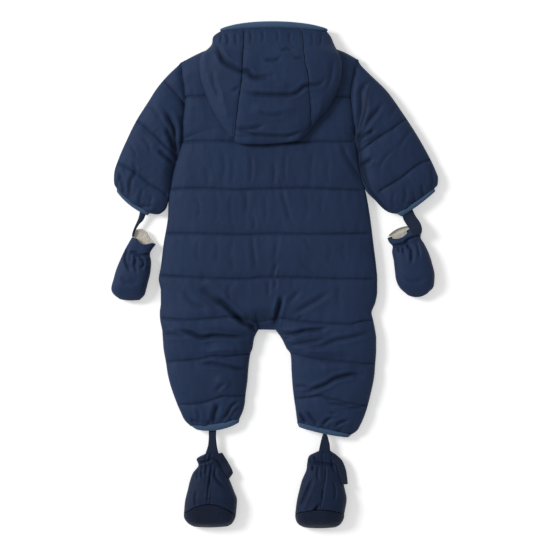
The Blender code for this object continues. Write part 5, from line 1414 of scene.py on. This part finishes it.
class SNOWSUIT_PG_padding(bpy.types.PropertyGroup):
    """How the padded cloth is drawn down by its seams."""

    channel_depth: length("Channel depth", "How far a sewn line draws the padding down", 2.9, 20.0)
    channel_reach: length("Channel reach", "How wide the padding rises again beside a sewn line", 6.0, 60.0)
    stitch_depth: length("Thread depth", "Depth of the groove right at the thread", 1.9, 6.0)
    pucker: length("Pucker", "Height of the puckers across a sewn line", 0.85, 6.0)
    pucker_reach: length("Pucker reach", "How far the puckers run out from a sewn line", 12.0, 60.0)
    lumps: length("Lumps", "Unevenness of the padding", 0.6, 6.0)
    wrinkles: length("Wrinkles", "Height of the small wrinkles of the shell", 0.3, 3.0)
    gathers: length("Gathers", "Height of the gathers that the elastic of cuffs and hems draws in", 2.6, 8.0)
    gather_reach: length("Gather reach", "How far those gathers run up from the binding", 13.0, 60.0)
    hood_folds: share_of("Hood folds", "Strength of the folds of the hood", 1.0, 3.0)


class SNOWSUIT_PG_binding(bpy.types.PropertyGroup):
    """The ribbed elastic binding."""

    rib_height: length("Rib height", "Height of a rib over the groove beside it", 0.28, 2.0)
    rib_step: length("Rib step", "Distance from rib to rib", 2.6, 10.0)


class SNOWSUIT_PG_sewing(bpy.types.PropertyGroup):
    """Stitches and zip."""

    stitch_pitch: length("Stitch pitch", "Distance from stitch to stitch", 3.6, 20.0)
    stitch_length: length("Stitch length", "Length of thread that shows in each stitch", 2.7, 20.0)
    stitch_width: length("Thread", "Thickness of the thread", 0.5, 3.0)
    tooth_pitch: length("Coil pitch", "Distance from coil to coil of the zip", 1.5, 10.0)
    tooth_length: length("Coil thickness", "Thickness of a coil", 1.1, 5.0)
    tooth_width: length("Coil width", "Width of a coil across the zip", 3.6, 10.0)
    tooth_stagger: length("Coil stagger", "How far the coils of the two sides lie apart", 1.0, 5.0)


class SNOWSUIT_PG_colours(bpy.types.PropertyGroup):
    """Colours of the cloths."""

    shell: colour("Shell", "Padded shell cloth", (0.0150, 0.0300, 0.0750))
    # painted shade: the shell's navy made darker for the booties, so that they look less lit
    bootie: colour("Booties", "Cloth of the booties", (0.0084, 0.0178, 0.0468))
    binding: colour("Binding", "Elastic binding", (0.0480, 0.0930, 0.1720))
    fleece: colour("Fleece", "Lining of the mittens", (0.56, 0.53, 0.46))
    sole: colour("Sole", "Soles of the booties", (0.0066, 0.0120, 0.0305))
    tape: colour("Tape", "Straps, tabs and zip tape", (0.0125, 0.0215, 0.0480))
    thread: colour("Thread", "Sewing thread", (0.0110, 0.0210, 0.0520))
    zip: colour("Zip", "Moulded zip parts", (0.030, 0.035, 0.045))
    floor: colour("Floor", "Floor and surroundings", (0.86, 0.86, 0.86))


class SNOWSUIT_PG_stage(bpy.types.PropertyGroup):
    """Camera and lights."""

    camera_height: bpy.props.FloatProperty(
        name="Camera height", description="Height of the camera over the floor", default=3.318, unit="LENGTH"
    )
    key: bpy.props.FloatProperty(
        name="Key light", description="Power of the large light at the upper left", default=140.0, min=0.0,
        unit="POWER",
    )
    surround: share_of("Surround", "Brightness of the white surroundings", 0.46, 4.0)
    floor_glow: share_of("Floor glow", "Light that the white floor gives by itself", 0.38, 2.0)


GROUPS = {
    "snowsuit_padding": SNOWSUIT_PG_padding,
    "snowsuit_binding": SNOWSUIT_PG_binding,
    "snowsuit_sewing": SNOWSUIT_PG_sewing,
    "snowsuit_colours": SNOWSUIT_PG_colours,
    "snowsuit_stage": SNOWSUIT_PG_stage,
}


class Numbers:
    """A settings group's lengths in mm and its other values as they are."""

    def __init__(self, group):
        for key, prop in group.bl_rna.properties.items():
            if prop.type == "FLOAT" and not prop.is_array:
                value = getattr(group, key)
                setattr(self, key, value / MM if prop.unit == "LENGTH" else value)


# ---------------------------------------------------------------- materials


def add(tree, kind, inputs=(), **values):
    """Adds a node with its settings, and joins or sets its inputs by name or number."""
    made = tree.nodes.new(kind)
    for key, value in values.items():
        setattr(made, key, value)
    for key, value in dict(inputs).items():
        if isinstance(value, bpy.types.NodeSocket):
            tree.links.new(value, made.inputs[key])
        else:
            made.inputs[key].default_value = value
    return made


def out_of(tree, kind, inputs=(), **values):
    """The first output of a node that is added in the same way."""
    return add(tree, kind, inputs, **values).outputs[0]


def times(tree, first, second):
    return out_of(tree, "ShaderNodeMath", {0: first, 1: second}, operation="MULTIPLY")


def plus(tree, first, second):
    return out_of(tree, "ShaderNodeMath", {0: first, 1: second}, operation="ADD")


SOCKETS = {
    "Color": "NodeSocketColor", "Vector": "NodeSocketVector", "Lines": "NodeSocketGeometry",
    "Forms": "NodeSocketGeometry", "Finish": "NodeSocketMaterial",
}  # every other socket is a number


def group(name, inputs, output, build, kind="ShaderNodeTree"):
    """A node group with named inputs, some with a value of their own, and one output."""
    tree = bpy.data.node_groups.new(name, kind)
    for key, value in inputs.items():
        socket_type = SOCKETS.get(key, "NodeSocketFloat")
        socket = tree.interface.new_socket(key, in_out="INPUT", socket_type=socket_type)
        if value is not None:
            socket.default_value = value
    tree.interface.new_socket(output, in_out="OUTPUT", socket_type=SOCKETS.get(output, "NodeSocketFloat"))
    given, result = tree.nodes.new("NodeGroupInput"), tree.nodes.new("NodeGroupOutput")
    tree.links.new(build(tree, given.outputs), result.inputs[output])
    return tree


def weave_group():
    """Two crossing sets of threads."""

    def build(tree, given):
        parts = add(tree, "ShaderNodeSeparateXYZ", {0: given["Vector"]}).outputs
        turn = [times(tree, parts[i], times(tree, given["Threads"], 6.2832)) for i in (0, 1)]
        waves = [out_of(tree, "ShaderNodeMath", {0: each}, operation="SINE") for each in turn]
        return plus(tree, times(tree, waves[0], 0.5), times(tree, waves[1], 0.5))

    return group("Snowsuit weave", {"Vector": None, "Threads": 1400.0}, "Height", build)


def crinkle_group():
    """Small wrinkles of thin cloth, longer along the body than across it."""

    def build(tree, given):
        place = out_of(tree, "ShaderNodeMapping", {0: given["Vector"], "Scale": (1.0, 0.62, 1.0)})
        large = {"Vector": place, "Scale": given["Scale"], "Detail": 4.0, "Roughness": 0.6, "Distortion": 0.4}
        first = out_of(tree, "ShaderNodeTexNoise", large)
        small = {"Vector": place, "Scale": times(tree, given["Scale"], 3.4), "Detail": 3.0, "Distortion": 0.8}
        second = out_of(tree, "ShaderNodeTexNoise", small)
        return plus(tree, times(tree, first, 0.72), times(tree, second, 0.28))

    return group("Snowsuit crinkle", {"Vector": None, "Scale": 60.0}, "Height", build)


def dye_and_painted_shade_group():
    """Uneven depth of a dye, and painted shade: darker in creases and on cloth that stands upright."""

    def build(tree, given):
        cloud, fleck = (
            out_of(tree, "ShaderNodeTexNoise", {"Vector": given["Vector"], "Scale": size, "Detail": detail})
            for size, detail in ((14.0, 5.0), (520.0, 2.0))
        )
        level = plus(tree, times(tree, cloud, 0.6), times(tree, fleck, 0.4))
        low, high = plus(tree, 1.0, times(tree, given["Amount"], -1.0)), plus(tree, 1.0, given["Amount"])
        dye = {"Value": level, "From Min": 0.3, "From Max": 0.7, "To Min": low, "To Max": high}
        span = out_of(tree, "ShaderNodeMapRange", dye)
        # painted shade: colour made darker in creases and along sewn lines
        light = plus(tree, 1.0, times(tree, given["Crease"], -CREASE_PAINTED_SHADE))
        # painted shade: cloth that stands upright, as round an edge or in a groove, is made darker by Side
        facing = add(tree, "ShaderNodeNewGeometry").outputs["Normal"]
        level = add(tree, "ShaderNodeSeparateXYZ", {0: facing}).outputs["Z"]
        level = out_of(tree, "ShaderNodeMath", {0: level}, operation="ABSOLUTE")
        upright = plus(tree, 1.0, times(tree, given["Side"], -1.0))
        lying_down = {"Value": level, "From Min": 0.1, "From Max": 0.75, "To Min": upright, "To Max": 1.0}
        side = out_of(tree, "ShaderNodeMapRange", lying_down, interpolation_type="SMOOTHSTEP")
        shade = times(tree, span, times(tree, light, side))
        return out_of(tree, "ShaderNodeVectorMath", {0: given["Color"], "Scale": shade}, operation="SCALE")

    # inputs: the dye's colour and amount, and the painted shade of creases and of upright cloth
    inputs = {"Color": None, "Vector": None, "Amount": 0.12, "Crease": 0.0, "Side": 0.0}
    return group("Snowsuit fade", inputs, "Color", build)


def new_finish(name, values):
    """A new material, and its shader with some of its values set."""
    finish = bpy.data.materials.new(name)
    finish.use_nodes = True
    shader = finish.node_tree.nodes["Principled BSDF"]
    for key, value in values.items():
        shader.inputs[key].default_value = value
    return finish, shader


def cloth(name, base, threads=1400.0, weave=0.15, crinkle=0.22, size=60.0, fade=0.12, rough=0.6, sheen=0.05,
          specular=0.12, side=UPRIGHT_PAINTED_SHADE):
    """A woven cloth, made once and then shared.

    It has an uneven colour with painted shade in creases and on upright cloth, thread and crinkle relief, and
    the soft light edge of its fibres.
    """
    if name in bpy.data.materials:
        return bpy.data.materials[name]
    builds = {"weave": weave_group, "crinkle": crinkle_group, "fade": dye_and_painted_shade_group}
    groups = {key: bpy.data.node_groups.get(f"Snowsuit {key}") or build() for key, build in builds.items()}
    finish, shader = new_finish(name, {
        "Roughness": rough, "Specular IOR Level": specular, "Sheen Weight": sheen, "Sheen Roughness": 0.45,
        "Sheen Tint": (0.62, 0.72, 1.0, 1.0),
    })
    tree = finish.node_tree
    place = add(tree, "ShaderNodeTexCoord").outputs["Object"]
    # the fade group gives the dye's unevenness and the painted shade of creases and upright cloth
    tone = add(tree, "ShaderNodeGroup", node_tree=groups["fade"])
    # the painted crease shade that each piece stores on its points
    crease = add(tree, "ShaderNodeAttribute", attribute_name="crease").outputs["Fac"]
    for key, value in (("Color", (*base, 1.0)), ("Amount", fade), ("Side", side)):
        tone.inputs[key].default_value = value
    tree.links.new(place, tone.inputs["Vector"])
    tree.links.new(crease, tone.inputs["Crease"])
    tree.links.new(tone.outputs["Color"], shader.inputs["Base Color"])
    wrinkles, woven = (add(tree, "ShaderNodeGroup", node_tree=groups[key]) for key in ("crinkle", "weave"))
    for relief, key, value in ((wrinkles, "Scale", size), (woven, "Threads", threads)):
        relief.inputs[key].default_value = value
        tree.links.new(place, relief.inputs["Vector"])
    coarse = {"Strength": crinkle, "Distance": 0.004, "Height": wrinkles.outputs["Height"]}
    fine = {"Strength": weave, "Distance": 0.0004, "Height": woven.outputs["Height"]}
    first = out_of(tree, "ShaderNodeBump", coarse)
    tree.links.new(out_of(tree, "ShaderNodeBump", {**fine, "Normal": first}), shader.inputs["Normal"])
    return finish


def plain(name, base, rough, specular=0.5):
    return new_finish(name, {"Base Color": (*base, 1.0), "Roughness": rough, "Specular IOR Level": specular})


def finishes(colours):
    """The cloths of the suit."""
    more = {
        "shell": {},
        # the booties' cloth is the shell's, with painted shade in its darker colour
        "bootie": {},
        "binding": {"threads": 900.0, "weave": 0.5, "crinkle": 0.25, "sheen": 0.2},
        # no painted shade on the fleece where it stands upright
        "fleece": {
            "threads": 300.0, "weave": 0.1, "crinkle": 0.45, "size": 260.0, "fade": 0.06, "rough": 0.9,
            "sheen": 0.5, "specular": 0.1, "side": 0.0,
        },
        "sole": {"threads": 420.0, "weave": 0.9, "crinkle": 0.3, "fade": 0.3, "sheen": 0.1},
        "tape": {"threads": 700.0, "weave": 0.8, "crinkle": 0.2, "sheen": 0.15},
        "thread": {"threads": 2600.0, "weave": 0.6, "crinkle": 0.1, "sheen": 0.2},
    }
    return {key: cloth(f"snowsuit_{key}", getattr(colours, key), **values) for key, values in more.items()}


# ---------------------------------------------------------------- stage


LENS, SENSOR = 135.0, 36.0  # in mm
KEY_PLACE, KEY_SIZE = (-3.3, 1.35, 2.7), 1.5  # in metres
FLOOR_HALF = 6.0


def make_camera(settings):
    data = bpy.data.cameras.new("snowsuit_camera")
    data.lens, data.sensor_width, data.sensor_fit = LENS, SENSOR, "HORIZONTAL"
    data.clip_start, data.clip_end = 0.05, 50.0
    camera = placed("snowsuit_camera", data)
    camera.location = (0.0, 0.0, settings.camera_height * MM)
    bpy.context.scene.camera = camera


def make_key_light(power):
    """A large round light at the upper left."""
    data = bpy.data.lights.new("key_light", "AREA")
    data.shape, data.size, data.energy = "DISK", KEY_SIZE, power
    light = placed("key_light", data)
    light.location = KEY_PLACE
    light.rotation_euler = (-light.location).to_track_quat("-Z", "Y").to_euler()
    return light


def make_floor(finish):
    data = bpy.data.meshes.new("floor")
    corners = [(FLOOR_HALF * x, FLOOR_HALF * y, 0.0) for x, y in ((-1, -1), (1, -1), (1, 1), (-1, 1))]
    data.from_pydata(corners, [], [(0, 1, 2, 3)])
    data.materials.append(finish)
    return placed("floor", data)


def light_world(settings):
    scene = bpy.context.scene
    world = bpy.data.worlds.new("snowsuit_world")
    scene.world = world
    world.use_nodes = True
    sky = world.node_tree.nodes["Background"]
    sky.inputs["Color"].default_value = (1.0, 1.0, 1.0, 1.0)
    sky.inputs["Strength"].default_value = settings.surround
    view = scene.view_settings
    view.view_transform, view.look, view.exposure, view.gamma = "Standard", "None", 0.0, 1.0


# ---------------------------------------------------------------- operators


class Piece:
    """What the operators that make pieces share."""

    bl_options = {"REGISTER", "UNDO"}

    def execute(self, context):
        scene = context.scene
        made = finishes(scene.snowsuit_colours)
        sizes = Numbers(scene.snowsuit_padding)
        for settings in (scene.snowsuit_binding, scene.snowsuit_sewing):
            for key, value in vars(Numbers(settings)).items():
                setattr(sizes, key, value)
        self.make(sizes, made)
        return {"FINISHED"}


class SNOWSUIT_OT_body(Piece, bpy.types.Operator):
    """Make the back, and the fronts with their legs"""

    bl_idname = "snowsuit.body"
    bl_label = "Body"

    def make(self, sizes, made):
        make_back(sizes, made["shell"])
        for side in SIDES:
            make_front(side, made["shell"])


class SNOWSUIT_OT_sleeves(Piece, bpy.types.Operator):
    """Make both sleeves"""

    bl_idname = "snowsuit.sleeves"
    bl_label = "Sleeves"

    def make(self, sizes, made):
        for side in SIDES:
            make_sleeve(side, sizes, made["shell"])


class SNOWSUIT_OT_bindings(Piece, bpy.types.Operator):
    """Make the ribbed bindings of the cuffs, the hems and the hood"""

    bl_idname = "snowsuit.bindings"
    bl_label = "Bindings"

    def make(self, sizes, made):
        bands = {
            "cuff_binding_left": CUFF_LEFT,
            "cuff_binding_right": CUFF_RIGHT,
            "hem_binding_left": HEM_LEFT,
            "hem_binding_right": HEM_RIGHT,
        }
        for name, table in bands.items():
            make_band(name, table, sizes, made["binding"])
        make_hood_binding(sizes, made["binding"])


class SNOWSUIT_OT_hood(Piece, bpy.types.Operator):
    """Make the hood's three panels and the two collar pieces"""

    bl_idname = "snowsuit.hood"
    bl_label = "Hood"

    def make(self, sizes, made):
        make_hood_centre(sizes, made["shell"])
        for side in SIDES:
            make_hood_side(side, sizes, made["shell"])
            make_collar(side, made["shell"])


class SNOWSUIT_OT_mittens(Piece, bpy.types.Operator):
    """Make the mittens with the fleece in their mouths"""

    bl_idname = "snowsuit.mittens"
    bl_label = "Mittens"

    def make(self, sizes, made):
        for side in SIDES:
            make_mitten(side, sizes, made["shell"])
            make_lip(side, made["fleece"])


class SNOWSUIT_OT_booties(Piece, bpy.types.Operator):
    """Make the booties and their soles"""

    bl_idname = "snowsuit.booties"
    bl_label = "Booties"

    def make(self, sizes, made):
        for side in SIDES:
            make_bootie(side, sizes, made["bootie"], made["sole"])


class SNOWSUIT_OT_straps(Piece, bpy.types.Operator):
    """Make the straps and tabs that hold the mittens and booties"""

    bl_idname = "snowsuit.straps"
    bl_label = "Straps and tabs"

    def make(self, sizes, made):
        for name in STRAPS:
            make_strap(name, made["tape"])


class SNOWSUIT_OT_zip(Piece, bpy.types.Operator):
    """Make the zip's tape and teeth, and finish its slider and pull"""

    bl_idname = "snowsuit.zip"
    bl_label = "Zip"

    def make(self, sizes, made):
        plastic, _ = plain("snowsuit_zip", bpy.context.scene.snowsuit_colours.zip, 0.42)
        make_zip(made["tape"])
        make_teeth(sizes, plastic)
        for name in ("zip_slider", "zip_pull"):
            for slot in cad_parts[name].material_slots:
                slot.material = plastic


class SNOWSUIT_OT_stitches(Piece, bpy.types.Operator):
    """Make the stitches of the sewn lines"""

    bl_idname = "snowsuit.stitches"
    bl_label = "Stitches"

    def make(self, sizes, made):
        make_stitches(sizes, made["thread"])


class SNOWSUIT_OT_stage(bpy.types.Operator):
    """Make the floor, the lights and the camera"""

    bl_idname = "snowsuit.stage"
    bl_label = "Stage"
    bl_options = {"REGISTER", "UNDO"}

    def execute(self, context):
        colours, group = context.scene.snowsuit_colours, context.scene.snowsuit_stage
        settings = Numbers(group)
        white, shader = plain("white_floor", colours.floor, 0.9, 0.0)
        shader.inputs["Emission Color"].default_value = (1.0, 1.0, 1.0, 1.0)
        shader.inputs["Emission Strength"].default_value = group.floor_glow
        floor, key = make_floor(white), make_key_light(group.key)
        make_camera(settings)
        light_world(settings)
        return {"FINISHED"}


class SNOWSUIT_PT_panel(bpy.types.Panel):
    """Settings and operators of the snowsuit"""

    bl_label = "Padded snowsuit"
    bl_idname = "SNOWSUIT_PT_panel"
    bl_space_type = "VIEW_3D"
    bl_region_type = "UI"
    bl_category = "Snowsuit"

    def draw(self, context):
        for key in GROUPS:
            box = self.layout.box()
            box.label(text=key.split("_")[1].capitalize())
            settings = getattr(context.scene, key)
            for prop in settings.bl_rna.properties:
                if prop.identifier not in {"rna_type", "name"}:
                    box.prop(settings, prop.identifier)
        for operator in OPERATORS:
            self.layout.operator(operator.bl_idname)


OPERATORS = (
    SNOWSUIT_OT_body,
    SNOWSUIT_OT_sleeves,
    SNOWSUIT_OT_bindings,
    SNOWSUIT_OT_hood,
    SNOWSUIT_OT_mittens,
    SNOWSUIT_OT_booties,
    SNOWSUIT_OT_straps,
    SNOWSUIT_OT_zip,
    SNOWSUIT_OT_stitches,
    SNOWSUIT_OT_stage,
)


def register():
    for kind in (*GROUPS.values(), *OPERATORS, SNOWSUIT_PT_panel):
        bpy.utils.register_class(kind)
    for key, kind in GROUPS.items():
        setattr(bpy.types.Scene, key, bpy.props.PointerProperty(type=kind))


def unregister():
    for key in GROUPS:
        delattr(bpy.types.Scene, key)
    for kind in (SNOWSUIT_PT_panel, *reversed(OPERATORS), *reversed(GROUPS.values())):
        bpy.utils.unregister_class(kind)


def main():
    register()
    for operator in OPERATORS:
        step = getattr(bpy.ops.snowsuit, operator.bl_idname.split(".")[1])
        if step() != {"FINISHED"}:
            raise RuntimeError(f"{operator.bl_idname} did not finish")


if __name__ == "__main__":
    main()
